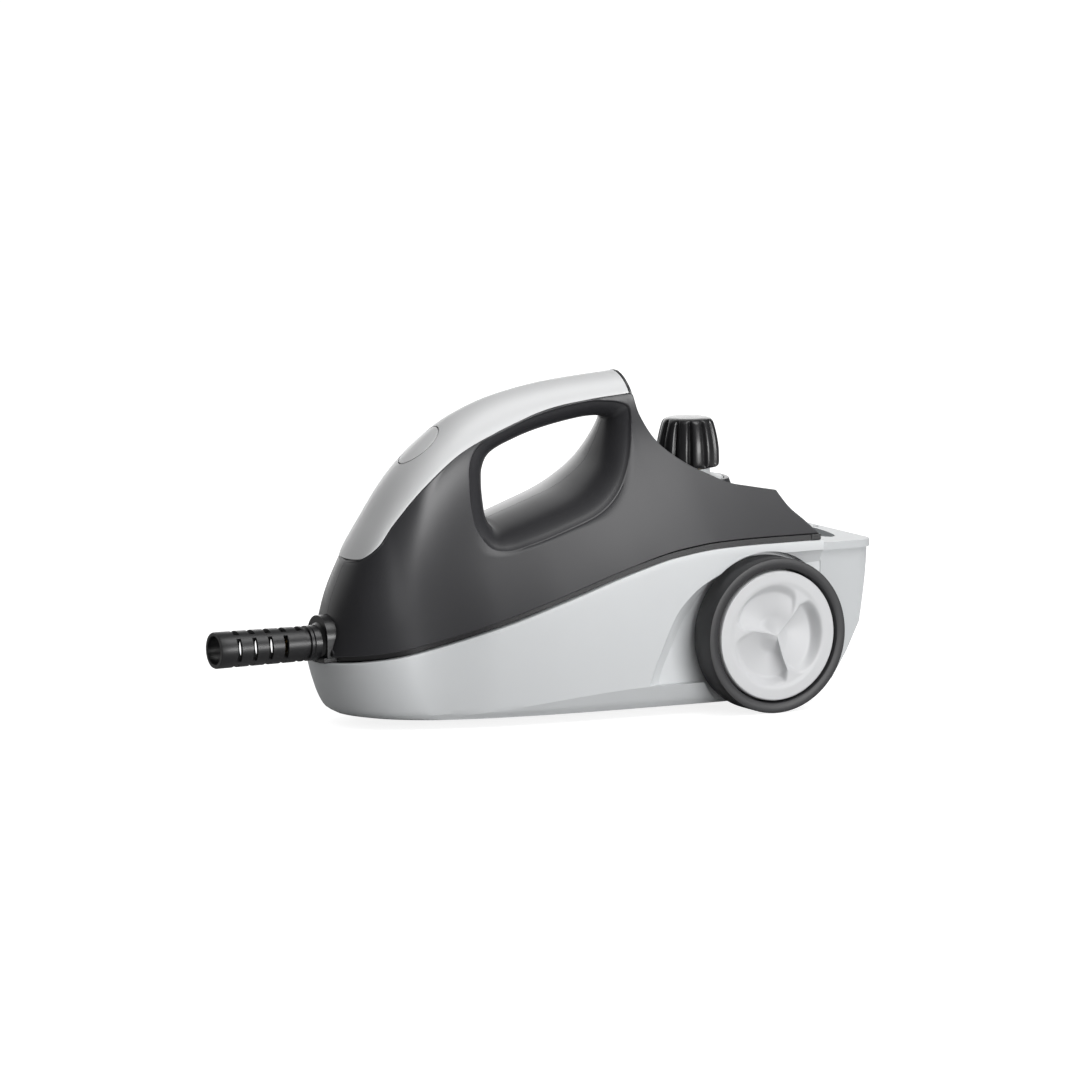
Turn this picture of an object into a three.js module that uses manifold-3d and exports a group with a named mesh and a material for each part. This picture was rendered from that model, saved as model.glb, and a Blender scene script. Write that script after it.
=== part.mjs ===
// Canister steam cleaner: two upper shell halves with a handle loop, base hull on two big rear
// wheels and a swivel caster, boiler with a screwed safety cap, hose relief at the nose.
// Millimetres, +Z up, nose towards -Y. Shapes are drawn from the rear axle line (Y = 0, floor at
// Z = 0); the outer group then moves them so that the origin is under the middle of the object.
import * as THREE from 'three';
import { mergeVertices } from 'three/addons/utils/BufferGeometryUtils.js';
import Module from 'manifold-3d';

const wasm = await Module();
wasm.setup();

// ---- Driving dimensions ----------------------------------------------------------------------
const AXLE_BEHIND_ORIGIN = 178.5;
const TYRE_RADIUS = 65;
const TYRE_WIDTH = 28;
const WHEEL_FACE_X = 122;
const WHEEL_BACK_X = WHEEL_FACE_X - TYRE_WIDTH;
const HUB_RADIUS = 54.8;
const AXLE_RADIUS = 4;
const WELL_WALL_X = 90;
const WALL = 2.8;
const GAP = 0.3;
const SEAM = 5;
const REAR_SEAM_Y = 54;
const TAIL_REAR_Y = 106;
const TAIL_TOP_Z = 137;
const TAIL_HALF_WIDTH = 102;
const BASE_FLOOR_Z = 7.5;
const KNOB_Y = -17.6;
const NECK_TOP_Z = 190;
const DECK_BOSS_Z = 183;
const RELIEF_Z = 70;
const RELIEF_END_Y = -463;
const RELIEF_RADIUS = 15;
const RELIEF_BORE = 12;
const FLANGE_FRONT_Y = -367.6;
const FLANGE_THICKNESS = 11;
const CASTER_Y = -292;
const CASTER_RADIUS = 15;
const CASTER_TRAIL = 9;
const BOILER_Y = -40;
const BOILER_SEAM_Z = 116;
const FLANK_POWER = 1.6;

// ---- Materials -------------------------------------------------------------------------------
const finish = (color, roughness, metalness = 0) =>
  new THREE.MeshStandardMaterial({ color, roughness, metalness });
const CHARCOAL = finish(0x2b2b2d, 0.42);
const SILVER = finish(0xb9bbbc, 0.38, 0.3);
const PALE_GREY = finish(0xc3c6c7, 0.45);
const BLACK_PLASTIC = finish(0x141415, 0.4);
const RUBBER = finish(0x1c1c1d, 0.8);
const ALUMINIUM = finish(0x9a9da0, 0.5, 0.9);
const STEEL = finish(0xa8abae, 0.3, 1);
const BRASS = finish(0xb08d4a, 0.35, 1);
const SILICONE = finish(0x9c3b2a, 0.7);
const WIRE_BLUE = finish(0x2c5fa8, 0.6);
const WIRE_BROWN = finish(0x6b4326, 0.6);

// ---- Curves through a few rows ---------------------------------------------------------------
// Rows are [position, value, value, ...]; the result is smooth and never overshoots.
function curve(rows) {
  const count = rows.length;
  const width = rows[0].length;
  const slope = (i, k) => (rows[i + 1][k] - rows[i][k]) / (rows[i + 1][0] - rows[i][0]);
  const tangent = (i, k) => {
    if (i === 0) return slope(0, k);
    if (i === count - 1) return slope(count - 2, k);
    const before = slope(i - 1, k);
    const after = slope(i, k);
    return before * after > 0 ? (2 * before * after) / (before + after) : 0;
  };
  return (at) => {
    const t = Math.min(Math.max(at, rows[0][0]), rows[count - 1][0]);
    let i = 0;
    while (i < count - 2 && t > rows[i + 1][0]) i += 1;
    const h = rows[i + 1][0] - rows[i][0];
    const u = (t - rows[i][0]) / h;
    const values = [];
    for (let k = 1; k < width; k += 1) {
      const start = (1 + 2 * u) * (1 - u) ** 2 * rows[i][k] + u * (1 - u) ** 2 * h * tangent(i, k);
      const end = u * u * (3 - 2 * u) * rows[i + 1][k] - u * u * (1 - u) * h * tangent(i + 1, k);
      values.push(start + end);
    }
    return values;
  };
}

// Top edge of the base along the side: [y, height, half width].
const baseEdge = curve([
  [-371, 54, 58], [-310, 63.5, 63.5], [-239, 83.5, 84], [-183, 103, 95], [-125, 123, 101],
  [-84, 134, 103], [-43, 139, 103.8], [0, 140, 104], [56, 140, 104.5],
]);
// Lower edge of the silver cover: [y, height, half width before the nose is rounded].
const coverEdge = curve([
  [-345, 125, 50], [-325, 149.3, 42], [-311, 166.6, 36.5], [-284, 196, 32], [-249, 221.3, 27.5],
  [-206, 239.2, 23], [-164, 253, 21], [-122, 259, 20.5], [-85.5, 262, 20],
]);
// Middle line of the front, from the rim of the base up over the nose: [height, y].
const noseLine = curve([
  [54, -370.5], [80, -362], [103, -356], [134, -343], [159, -329], [181, -315], [201, -301],
  [216, -287], [240.5, -262], [254.5, -234], [264.6, -206], [271.2, -177.5], [275.2, -149],
  [278.3, -120.6], [279.7, -92],
]);
// Middle line of the base below its rim: [height, y].
const keelLine = curve([[7.5, -338], [9, -346], [15.6, -356], [38, -366], [54, -370.5]]);
const HANDLE_REAR_Y = -85.5;
const FIN_HEIGHT = 123;

const noseRadius = (z) => Math.max(60 - 0.2 * (z - 54), 24);
function noseRounding(y, tipY, radius) {
  const s = Math.min(Math.max((y - tipY) / radius, 0), 1);
  return Math.sqrt(1 - (1 - s) ** 2);
}
// Half width of the upper body at a point of its side view.
function flank(y, z) {
  const [rim, rimWidth] = baseEdge(y);
  const bottom = rim + SEAM;
  const [ridge, ridgeWidth] = coverEdge(Math.min(y, HANDLE_REAR_Y));
  const height = y > HANDLE_REAR_Y ? FIN_HEIGHT : ridge - bottom;
  const t = Math.min(Math.max((z - bottom) / height, 0), 1);
  const width = ridgeWidth + (rimWidth - ridgeWidth) * (1 - t) ** FLANK_POWER;
  return width * noseRounding(y, noseLine(z)[0], noseRadius(z));
}

// ---- Solids ----------------------------------------------------------------------------------
function solid(geometry, place = {}) {
  const { x = 0, y = 0, z = 0, rx = 0, ry = 0, rz = 0 } = place;
  const bare = geometry.index ? geometry.clone() : mergeVertices(geometry);
  bare.deleteAttribute('normal');
  bare.deleteAttribute('uv');
  const merged = mergeVertices(bare, 1e-4);
  const turn = new THREE.Matrix4().makeRotationFromEuler(new THREE.Euler(rx, ry, rz, 'ZYX'));
  merged.applyMatrix4(turn);
  merged.translate(x, y, z);
  const triangles = Uint32Array.from(merged.index.array);
  const points = Float32Array.from(merged.attributes.position.array);
  if (signedVolume(points, triangles) < 0) {
    for (let i = 0; i < triangles.length; i += 3) {
      [triangles[i], triangles[i + 1]] = [triangles[i + 1], triangles[i]];
    }
  }
  return new wasm.Manifold(
    new wasm.Mesh({ numProp: 3, vertProperties: points, triVerts: triangles }),
  );
}

function signedVolume(points, triangles) {
  const corner = (i) => new THREE.Vector3().fromArray(points, triangles[i] * 3);
  let total = 0;
  for (let i = 0; i < triangles.length; i += 3) {
    total += corner(i).dot(corner(i + 1).cross(corner(i + 2)));
  }
  return total / 6;
}

const join = (...parts) => parts.reduce((whole, part) => whole.add(part));
const cut = (whole, ...tools) => tools.reduce((left, tool) => left.subtract(tool), whole);

function rod(axis, radius, from, to, centre = [0, 0], sides = 24) {
  const geometry = new THREE.CylinderGeometry(radius, radius, to - from, sides);
  const middle = (from + to) / 2;
  if (axis === 'x') return solid(geometry, { rz: Math.PI / 2, x: middle, y: centre[0], z: centre[1] });
  if (axis === 'y') return solid(geometry, { x: centre[0], y: middle, z: centre[1] });
  return solid(geometry, { rx: Math.PI / 2, x: centre[0], y: centre[1], z: middle });
}

const tubeOf = (axis, outer, inner, from, to, centre, sides = 24) =>
  cut(rod(axis, outer, from, to, centre, sides), rod(axis, inner, from - 1, to + 1, centre, sides));

function block(low, high) {
  const size = high.map((v, i) => v - low[i]);
  const middle = high.map((v, i) => (v + low[i]) / 2);
  return solid(new THREE.BoxGeometry(...size), { x: middle[0], y: middle[1], z: middle[2] });
}

// A turned body about the Z axis; each point is [radius, height].
function turned(profile, sides = 32, place = {}) {
  const points = profile.map(([r, h]) => new THREE.Vector2(r, h));
  const upright = new THREE.LatheGeometry(points, sides).rotateX(Math.PI / 2);
  return solid(upright, place);
}

// An outline in the side view [y, z], extruded across X.
function sidePlate(outline, fromX, toX) {
  const shape = new THREE.Shape(outline.map(([y, z]) => new THREE.Vector2(y, z)));
  const geometry = new THREE.ExtrudeGeometry(shape, { depth: toX - fromX, bevelEnabled: false });
  const stand = new THREE.Matrix4().set(0, 0, 1, fromX, 1, 0, 0, 0, 0, 1, 0, 0, 0, 0, 0, 1);
  return solid(geometry.applyMatrix4(stand));
}

// An outline in plan [x, y], extruded up Z.
function planPlate(outline, fromZ, toZ) {
  const shape = new THREE.Shape(outline.map(([x, y]) => new THREE.Vector2(x, y)));
  const geometry = new THREE.ExtrudeGeometry(shape, { depth: toZ - fromZ, bevelEnabled: false });
  return solid(geometry, { z: fromZ });
}

function ellipseOutline(radiusX, radiusY, centreX, centreY, count = 32) {
  const outline = [];
  for (let i = 0; i < count; i += 1) {
    const angle = (i / count) * 2 * Math.PI;
    outline.push([centreX + radiusX * Math.cos(angle), centreY + radiusY * Math.sin(angle)]);
  }
  return outline;
}

function pipe(points, radius, steps, sides = 10) {
  const path = new THREE.CatmullRomCurve3(points.map((p) => new THREE.Vector3(...p)));
  const section = new THREE.Shape(
    ellipseOutline(radius, radius, 0, 0, sides).map(([a, b]) => new THREE.Vector2(a, b)),
  );
  return solid(new THREE.ExtrudeGeometry(section, { steps, extrudePath: path }));
}

// A closed body from triangles listed by corner points.
function facets(triangles) {
  const geometry = new THREE.BufferGeometry();
  geometry.setAttribute('position', new THREE.Float32BufferAttribute(triangles.flat(2), 3));
  return solid(geometry);
}
const quad = (list, a, b, c, d) => list.push([a, b, c], [a, c, d]);

// A flat face across the YZ plane inside a rim and round its holes, facing -X.
function flatFace(rim, holes = []) {
  const flatPoints = (loop) => loop.map(([, y, z]) => new THREE.Vector2(y, z));
  const all = [...rim, ...holes.flat()];
  const corners = THREE.ShapeUtils.triangulateShape(flatPoints(rim), holes.map(flatPoints));
  return corners.map((corner) => {
    const face = corner.map((i) => all[i]);
    const [a, b, c] = face;
    const area = (b[1] - a[1]) * (c[2] - a[2]) - (b[2] - a[2]) * (c[1] - a[1]);
    return area > 0 ? face.reverse() : face;
  });
}

// Columns of points on the +X side, mirrored to -X and closed all round.
function mirroredBody(columns) {
  const faces = [];
  const flip = ([x, y, z]) => [-x, y, z];
  const last = columns.length - 1;
  const rows = columns[0].length - 1;
  for (let i = 0; i < last; i += 1) {
    for (let j = 0; j < rows; j += 1) {
      const ring = [columns[i][j], columns[i + 1][j], columns[i + 1][j + 1], columns[i][j + 1]];
      quad(faces, ...ring);
      quad(faces, ...ring.map(flip).reverse());
    }
    for (const [j, up] of [[0, false], [rows, true]]) {
      const strip = [columns[i][j], columns[i + 1][j], flip(columns[i + 1][j]), flip(columns[i][j])];
      quad(faces, ...(up ? strip : strip.reverse()));
    }
  }
  for (const [i, front] of [[0, true], [last, false]]) {
    for (let j = 0; j < rows; j += 1) {
      const strip = [columns[i][j], columns[i][j + 1], flip(columns[i][j + 1]), flip(columns[i][j])];
      quad(faces, ...(front ? strip : strip.reverse()));
    }
  }
  return facets(faces.map((face) => [...face].reverse()));
}

// ---- The object as a scene -------------------------------------------------------------------
const object = new THREE.Group();
object.position.set(0, AXLE_BEHIND_ORIGIN, 0);

function piece(name, body, material, parent = object) {
  const { vertProperties, triVerts, numProp } = body.getMesh();
  const positions = new Float32Array((vertProperties.length / numProp) * 3);
  for (let i = 0; i < positions.length / 3; i += 1) {
    for (let k = 0; k < 3; k += 1) positions[3 * i + k] = vertProperties[numProp * i + k];
  }
  const geometry = new THREE.BufferGeometry();
  geometry.setAttribute('position', new THREE.BufferAttribute(positions, 3));
  geometry.setIndex(new THREE.BufferAttribute(Uint32Array.from(triVerts), 1));
  geometry.computeVertexNormals();
  const mesh = new THREE.Mesh(geometry, material);
  mesh.name = name;
  parent.add(mesh);
  return mesh;
}

// ---- Base hull -------------------------------------------------------------------------------
const ARCH = [
  [-109, 0], [-109, 27], [-97, 60], [-82, 90], [-64, 107], [-45, 117], [-25, 126], [-4, 131],
  [25, 132], [60, 132], [60, 0],
];

function baseColumn(share, inset, lowZ, raise, rows) {
  // share runs from the nose (0) to the rear seam (1), closer together round the nose.
  const column = [];
  const eased = share ** 1.7;
  for (let j = 0; j <= rows; j += 1) {
    const v = j / rows;
    const rearY = inset > 0 ? REAR_SEAM_Y + 6 : REAR_SEAM_Y;
    const frontAt = (z) => keelLine(Math.min(z, 54))[0] + inset;
    const roughY = frontAt(54) + (rearY - frontAt(54)) * eased;
    const top = baseEdge(roughY)[0] + raise;
    const z = lowZ + (top - lowZ) * v ** 1.25;
    const tip = frontAt(z);
    const y = tip + (rearY - tip) * eased;
    const [rim, rimWidth] = baseEdge(y);
    const low = (rim - z) / (rim - BASE_FLOOR_Z);
    const tuck = 0.06 * low * low + (j === 0 && inset === 0 ? 0.07 : 0);
    const radius = noseRadius(54);
    const rounded = rimWidth * (1 - tuck) * noseRounding(y + inset * 0.2, tip - inset * 0.05, radius);
    const widest = inset > 0 && y > -122 ? WELL_WALL_X - WALL : 130;
    column.push([Math.min(Math.max(rounded - inset, 1.5), widest), y, z]);
  }
  return column;
}

function hull(inset, lowZ, raise, count, rows) {
  const columns = [];
  for (let i = 0; i <= count; i += 1) columns.push(baseColumn(i / count, inset, lowZ, raise, rows));
  return mirroredBody(columns);
}

const wheelArches = [1, -1].map((side) =>
  sidePlate(ARCH, side > 0 ? WELL_WALL_X : -130, side > 0 ? 130 : -WELL_WALL_X),
);
const CASTER_WELL = { radius: 29.5, roofZ: 38, wall: 2.5 };
const BOSS = { radius: 5, bore: 1.6 };
const SCREW_SPOTS = [[58, -262], [-58, -262], [76, 30], [-76, 30]];
const FOOT_SPOTS = [[0, -96], [40, 14], [-40, 14]];
const FOOT_TOP_Z = 80;

function makeBase() {
  let base = hull(0, BASE_FLOOR_Z, 0, 20, 5);
  base = cut(base, hull(WALL, BASE_FLOOR_Z + WALL, 30, 14, 2), ...wheelArches);
  const wellTop = CASTER_WELL.roofZ + CASTER_WELL.wall;
  base = join(
    base,
    rod('z', CASTER_WELL.radius + CASTER_WELL.wall, BASE_FLOOR_Z + 0.5, wellTop, [0, CASTER_Y], 32),
    ...SCREW_SPOTS.map(([x, y]) => rod('z', BOSS.radius, BASE_FLOOR_Z + 1, 60, [x, y], 8)),
    ...FOOT_SPOTS.map(([x, y]) => rod('z', 8, BASE_FLOOR_Z + 1, FOOT_TOP_Z - 8 - GAP, [x, y], 10)),
  );
  const openings = [
    rod('z', CASTER_WELL.radius, BASE_FLOOR_Z - 2, CASTER_WELL.roofZ, [0, CASTER_Y], 32),
    rod('z', 11.3, 0, 60, [0, CASTER_Y]),
    rod('x', 9.3, -130, 130, [0, TYRE_RADIUS]),
  ];
  const screwHoles = SCREW_SPOTS.flatMap(([x, y]) => [
    rod('z', 3.4, 0, 26, [x, y], 10),
    rod('z', BOSS.bore + 0.4, 0, 70, [x, y], 8),
  ]);
  return cut(base, ...openings, ...screwHoles);
}
piece('base_shell', makeBase(), PALE_GREY);

// ---- Tail housing ----------------------------------------------------------------------------
// Side view of the tail: the wall leans in below its rim.
const TAIL_SIDE = [
  [REAR_SEAM_Y + GAP, 14], [66, 22], [80, 44], [92, 68], [103.5, 130.6], [TAIL_REAR_Y, 131],
  [TAIL_REAR_Y, TAIL_TOP_Z], [REAR_SEAM_Y + GAP, TAIL_TOP_Z],
];
const TRAY = { y: 80, halfX: 74, halfY: 15, floorZ: 124 };
const PEG_HOLE = { x: 12, y: 100.5, radius: 2.6, floorZ: 121 };

function tailPlan(halfWidth, rearY, corner, fromY) {
  const outline = [[-halfWidth, fromY]];
  for (const side of [-1, 1]) {
    for (let i = 0; i <= 5; i += 1) {
      const angle = (i / 5) * (Math.PI / 2);
      const along = side < 0 ? angle : Math.PI / 2 - angle;
      const x = side * (halfWidth - corner + corner * Math.cos(along));
      outline.push([x, rearY - corner + corner * Math.sin(along)]);
    }
  }
  outline.push([halfWidth, fromY]);
  return outline;
}

function makeTail() {
  const silhouette = sidePlate(TAIL_SIDE, -120, 120);
  const rimPlan = planPlate(tailPlan(TAIL_HALF_WIDTH, TAIL_REAR_Y, 14, 50), 130.8, 140);
  const wallPlan = planPlate(tailPlan(TAIL_HALF_WIDTH - 3.5, TAIL_REAR_Y - 1, 13, 50), 0, 131);
  const outer = silhouette.intersect(join(rimPlan, wallPlan));
  const innerSide = TAIL_SIDE.map(([y, z]) => [y - WALL - 0.4, z < 60 ? z + 4 : z - WALL]);
  innerSide[0] = [40, 17];
  innerSide[4] = [97.5, 120];
  innerSide[5] = [98, 121];
  innerSide[6] = [98, 121];
  innerSide[7] = [40, 121];
  innerSide.splice(5, 1);
  const innerPlan = planPlate(tailPlan(WELL_WALL_X - WALL, TAIL_REAR_Y - 4, 10, 30), 0, 160);
  const inner = sidePlate(innerSide, -120, 120).intersect(innerPlan);
  const tray = planPlate(
    ellipseOutline(TRAY.halfX, TRAY.halfY, 0, TRAY.y, 40), TRAY.floorZ, 150,
  );
  const peg = rod('z', PEG_HOLE.radius, PEG_HOLE.floorZ, 150, [PEG_HOLE.x, PEG_HOLE.y], 16);
  const gland = rod('y', 8.3, 60, 120, [-48, 82], 20);
  const tyreRooms = [[WELL_WALL_X, 130], [-130, -WELL_WALL_X]].map(([from, to]) =>
    rod('x', TYRE_RADIUS + 4, from, to, [0, TYRE_RADIUS], 40),
  );
  return cut(outer, inner, tray, peg, gland, ...tyreRooms);
}
piece('tail_housing', makeTail(), PALE_GREY);
piece(
  'cord_gland',
  cut(
    join(rod('y', 11, 97.6, 101, [-48, 82], 20), rod('y', 8, 84, 98, [-48, 82], 20)),
    rod('y', 4, 80, 110, [-48, 82], 16),
  ),
  RUBBER,
);

// ---- Upper shell halves ----------------------------------------------------------------------
// Crease of the handle opening on the flank, and the rounded inside of the opening on the middle
// plane, point for point [y, z].
const CREASE = [
  [-238.5, 212.4], [-229.9, 226.5], [-190, 243.5], [-145, 254.3], [-113.8, 257.2], [-87.4, 251.4],
  [-86.1, 243.6], [-92.8, 217.7], [-103.1, 198.7], [-117.4, 182.4], [-135.8, 169.8],
  [-168.1, 157.5], [-197.8, 147.9], [-219.9, 143], [-231.7, 145.7], [-240.3, 160], [-242, 178.6],
  [-240.5, 198.4],
];
const THROAT = [
  [-217, 207], [-211, 217], [-183, 229.5], [-150, 238], [-112, 243], [-100, 241], [-101, 236],
  [-109, 219], [-117, 206], [-130, 195], [-145, 186], [-172, 176], [-196, 168], [-209, 163.5],
  [-214, 161], [-217.5, 168], [-218.5, 182], [-218.5, 197],
];
const loopCurve = (points) =>
  new THREE.CatmullRomCurve3(points.map(([y, z]) => new THREE.Vector3(0, y, z)), true, 'centripetal');
const creaseCurve = loopCurve(CREASE);
const throatCurve = loopCurve(THROAT);
const COVER_LINE = [
  [-339.8, 137.5], [-337.4, 138.6], [-325, 149.4], [-311.4, 166.7], [-284, 196], [-249.4, 221.4],
  [-206.1, 239.2], [-163.5, 253.2], [-122.3, 259.2], [-85, 262.1],
];
const RIDGE_LINE = [
  [-85, 262.1], [-82, 262], [-76.9, 243.9], [-66.7, 222.6], [-47.2, 205], [-29, 195],
  [-12.1, 187.3], [4.8, 183.7], [28.1, 179.5],
];
const REAR_SLOPE = [[28.1, 179.5], [33.8, 166.1], [42.4, 155.9], [50.2, 145.3]];
const bottomLine = [];
for (let i = 0; i <= 12; i += 1) {
  const y = 50.2 + (-364 - 50.2) * (i / 12);
  bottomLine.push([y, baseEdge(y)[0] + SEAM + GAP]);
}
const noseEdge = [];
for (let i = 0; i <= 6; i += 1) {
  const z = 61 + (137.5 - 61) * (i / 6);
  noseEdge.push([noseLine(z)[0], z]);
}
noseEdge[0] = bottomLine[12];
// Each stretch of the outer boundary, its count of steps, and where it faces the crease loop.
const STRETCHES = [
  { line: COVER_LINE, steps: 16, from: 16, to: 23 },
  { line: RIDGE_LINE, steps: 9, from: 23, to: 26.5 },
  { line: REAR_SLOPE, steps: 3, from: 26.5, to: 28 },
  { line: bottomLine, steps: 13, from: 28, to: 32 },
  { line: noseEdge, steps: 6, from: 32, to: 34 },
];
const FLARE_ROWS = 3;
const FLANK_ROWS = 5;
const PARTING_X = 0.15;
const LAND_X = 2;

function pointOn(line, share) {
  const path = new THREE.CurvePath();
  for (let i = 0; i < line.length - 1; i += 1) {
    path.add(new THREE.LineCurve(new THREE.Vector2(...line[i]), new THREE.Vector2(...line[i + 1])));
  }
  const at = path.getPointAt(Math.min(share, 0.99999));
  return share >= 1 ? line[line.length - 1] : [at.x, at.y];
}

function shellRays() {
  const rays = [];
  for (const { line, steps, from, to } of STRETCHES) {
    for (let i = 0; i < steps; i += 1) {
      const share = i / steps;
      const along = ((from + (to - from) * share) % CREASE.length) / CREASE.length;
      const crease = creaseCurve.getPoint(along);
      const throat = throatCurve.getPoint(along);
      rays.push({ outer: pointOn(line, share), crease: [crease.y, crease.z], throat: [throat.y, throat.z] });
    }
  }
  return rays;
}

function shellRay({ outer, crease, throat }) {
  const points = [];
  const creaseX = flank(...crease);
  for (let j = 0; j < FLARE_ROWS; j += 1) {
    const turn = (j / FLARE_ROWS) * (Math.PI / 2);
    const share = 1 - Math.cos(turn);
    const y = throat[0] + (crease[0] - throat[0]) * share;
    const z = throat[1] + (crease[1] - throat[1]) * share;
    points.push([Math.max(creaseX * Math.sin(turn), LAND_X), y, z]);
  }
  for (let j = 0; j <= FLANK_ROWS; j += 1) {
    const v = 1 - (1 - j / FLANK_ROWS) ** 1.5;
    const y = crease[0] + (outer[0] - crease[0]) * v;
    const z = crease[1] + (outer[1] - crease[1]) * v;
    points.push([Math.max(flank(y, z), LAND_X), y, z]);
  }
  return points;
}

function flankBody() {
  const rays = shellRays().map(shellRay);
  const rows = rays[0].length - 1;
  const faces = [];
  const flat = ([, y, z]) => [PARTING_X, y, z];
  rays.forEach((ray, i) => {
    const next = rays[(i + 1) % rays.length];
    for (let j = 0; j < rows; j += 1) quad(faces, ray[j], next[j], next[j + 1], ray[j + 1]);
    quad(faces, flat(ray[0]), flat(next[0]), next[0], ray[0]);
    quad(faces, ray[rows], next[rows], flat(next[rows]), flat(ray[rows]));
  });
  const rim = rays.map((ray) => flat(ray[rows]));
  const throat = rays.map((ray) => flat(ray[0]));
  return facets([...faces, ...flatFace(rim, [throat])]);
}

// Ceiling of the hollow inside: below the cover, under the opening, and below the deck.
const ceiling = curve([
  [-352, 66], [-336, 120], [-318, 146], [-296, 172], [-272, 190], [-252, 184], [-243, 140],
  [-219, 134], [-196, 138], [-168, 147], [-136, 159], [-112, 172], [-96, 190], [-86, 214],
  [-80, 220], [-64, 198], [-48, 180], [-28, 172], [0, 170], [24, 167], [38, 150], [46, 141],
]);

const HOLLOW_FRONT_Y = -352;
const HOLLOW_REAR_Y = 46;
const NOSE_WALL = 9;

function shellHollow() {
  const faces = [];
  const columns = 30;
  const rows = 4;
  const grid = [];
  for (let i = 0; i <= columns; i += 1) {
    const y = HOLLOW_FRONT_Y + (HOLLOW_REAR_Y - HOLLOW_FRONT_Y) * (i / columns);
    const low = baseEdge(y)[0] - 4;
    const high = Math.max(ceiling(y)[0], low + 12);
    grid.push([]);
    for (let j = 0; j <= rows; j += 1) {
      const z = low + (high - low) * (j / rows);
      grid[i].push([Math.max(flank(y - NOSE_WALL, z) - WALL * 1.25, -0.5), y, z]);
    }
  }
  const flat = ([, y, z]) => [-4, y, z];
  for (let i = 0; i < columns; i += 1) {
    for (let j = 0; j < rows; j += 1) {
      quad(faces, grid[i][j], grid[i + 1][j], grid[i + 1][j + 1], grid[i][j + 1]);
    }
    for (const j of [0, rows]) {
      const strip = [grid[i][j], grid[i + 1][j], flat(grid[i + 1][j]), flat(grid[i][j])];
      quad(faces, ...(j === 0 ? strip.reverse() : strip));
    }
  }
  for (const i of [0, columns]) {
    for (let j = 0; j < rows; j += 1) {
      const strip = [grid[i][j], grid[i][j + 1], flat(grid[i][j + 1]), flat(grid[i][j])];
      quad(faces, ...(i === 0 ? strip : strip.reverse()));
    }
  }
  const under = grid.map((column) => flat(column[0]));
  const over = grid.map((column) => flat(column[rows])).reverse();
  const front = grid[0].slice(1, rows).map(flat).reverse();
  const rear = grid[columns].slice(1, rows).map(flat);
  return facets([...faces, ...flatFace([...under, ...rear, ...over, ...front])]);
}

// The rear deck is a shallow valley between the two ridges, level round the filler.
function deckValley() {
  const columns = [];
  for (let i = 0; i <= 12; i += 1) {
    const y = -56 + 112 * (i / 12);
    const edge = pointAtY(RIDGE_LINE, Math.min(y, 28));
    const half = flank(Math.min(y, 28), edge) - 5;
    const depth = 9 * Math.min(1, (y + 60) / 24);
    const column = [];
    for (let j = 0; j <= 6; j += 1) {
      const x = 1 + (half - 1) * (j / 6);
      column.push([x, y, edge + 0.2 - depth * (1 - (x / half) ** 2)]);
    }
    column.push([half, y, 300]);
    columns.push(column);
  }
  return mirroredBody(columns);
}
function pointAtY(line, y) {
  let i = 0;
  while (i < line.length - 2 && y > line[i + 1][0]) i += 1;
  const share = (y - line[i][0]) / (line[i + 1][0] - line[i][0]);
  return line[i][1] + (line[i + 1][1] - line[i][1]) * share;
}

const flangeTop = { z: 74, radius: 18.5, footZ: 59.4 };
function flangeOutline(grow) {
  const outline = [[-flangeTop.radius - grow, flangeTop.footZ - grow]];
  for (let i = 12; i >= 0; i -= 1) {
    const angle = (i / 12) * Math.PI;
    const radius = flangeTop.radius + grow;
    outline.push([radius * Math.cos(angle), flangeTop.z + radius * Math.sin(angle)]);
  }
  outline.push([flangeTop.radius + grow, flangeTop.footZ - grow]);
  return outline;
}
function flangePlate(grow, fromY, toY) {
  const shape = new THREE.Shape(flangeOutline(grow).map(([x, z]) => new THREE.Vector2(x, z)));
  const geometry = new THREE.ExtrudeGeometry(shape, { depth: toY - fromY, bevelEnabled: false });
  return solid(geometry, { rx: Math.PI / 2, y: toY });
}
const flangeRearY = FLANGE_FRONT_Y + FLANGE_THICKNESS;

const BUTTON = { y: -274, z: 228.6, halfAlong: 21.5, halfAcross: 14, depth: 7, lean: Math.PI / 4 };
function buttonPrism(grow, from, to, sides = 20) {
  const outline = ellipseOutline(BUTTON.halfAcross + grow, BUTTON.halfAlong + grow, 0, 0, sides);
  const shape = new THREE.Shape(outline.map(([a, b]) => new THREE.Vector2(a, b)));
  const geometry = new THREE.ExtrudeGeometry(shape, { depth: to - from, bevelEnabled: false });
  geometry.translate(0, 0, from);
  return solid(geometry, { rx: BUTTON.lean, y: BUTTON.y, z: BUTTON.z });
}

function makeShell() {
  const tools = [
    shellHollow(),
    deckValley(),
    rod('z', 34, DECK_BOSS_Z, 260, [0, KNOB_Y], 40),
    rod('z', 16.5, 120, 260, [0, KNOB_Y], 32),
    flangePlate(GAP, -400, flangeRearY + GAP),
    rod('y', 7, -380, -300, [0, RELIEF_Z], 16),
    rod('z', 5, 170, 240, [0, -262], 12),
    buttonPrism(3, -24, 20),
  ];
  return cut(flankBody(), ...tools);
}
const shellHalf = makeShell();
piece('shell_left', shellHalf, CHARCOAL);
piece('shell_right', shellHalf.mirror([1, 0, 0]), CHARCOAL);

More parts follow.
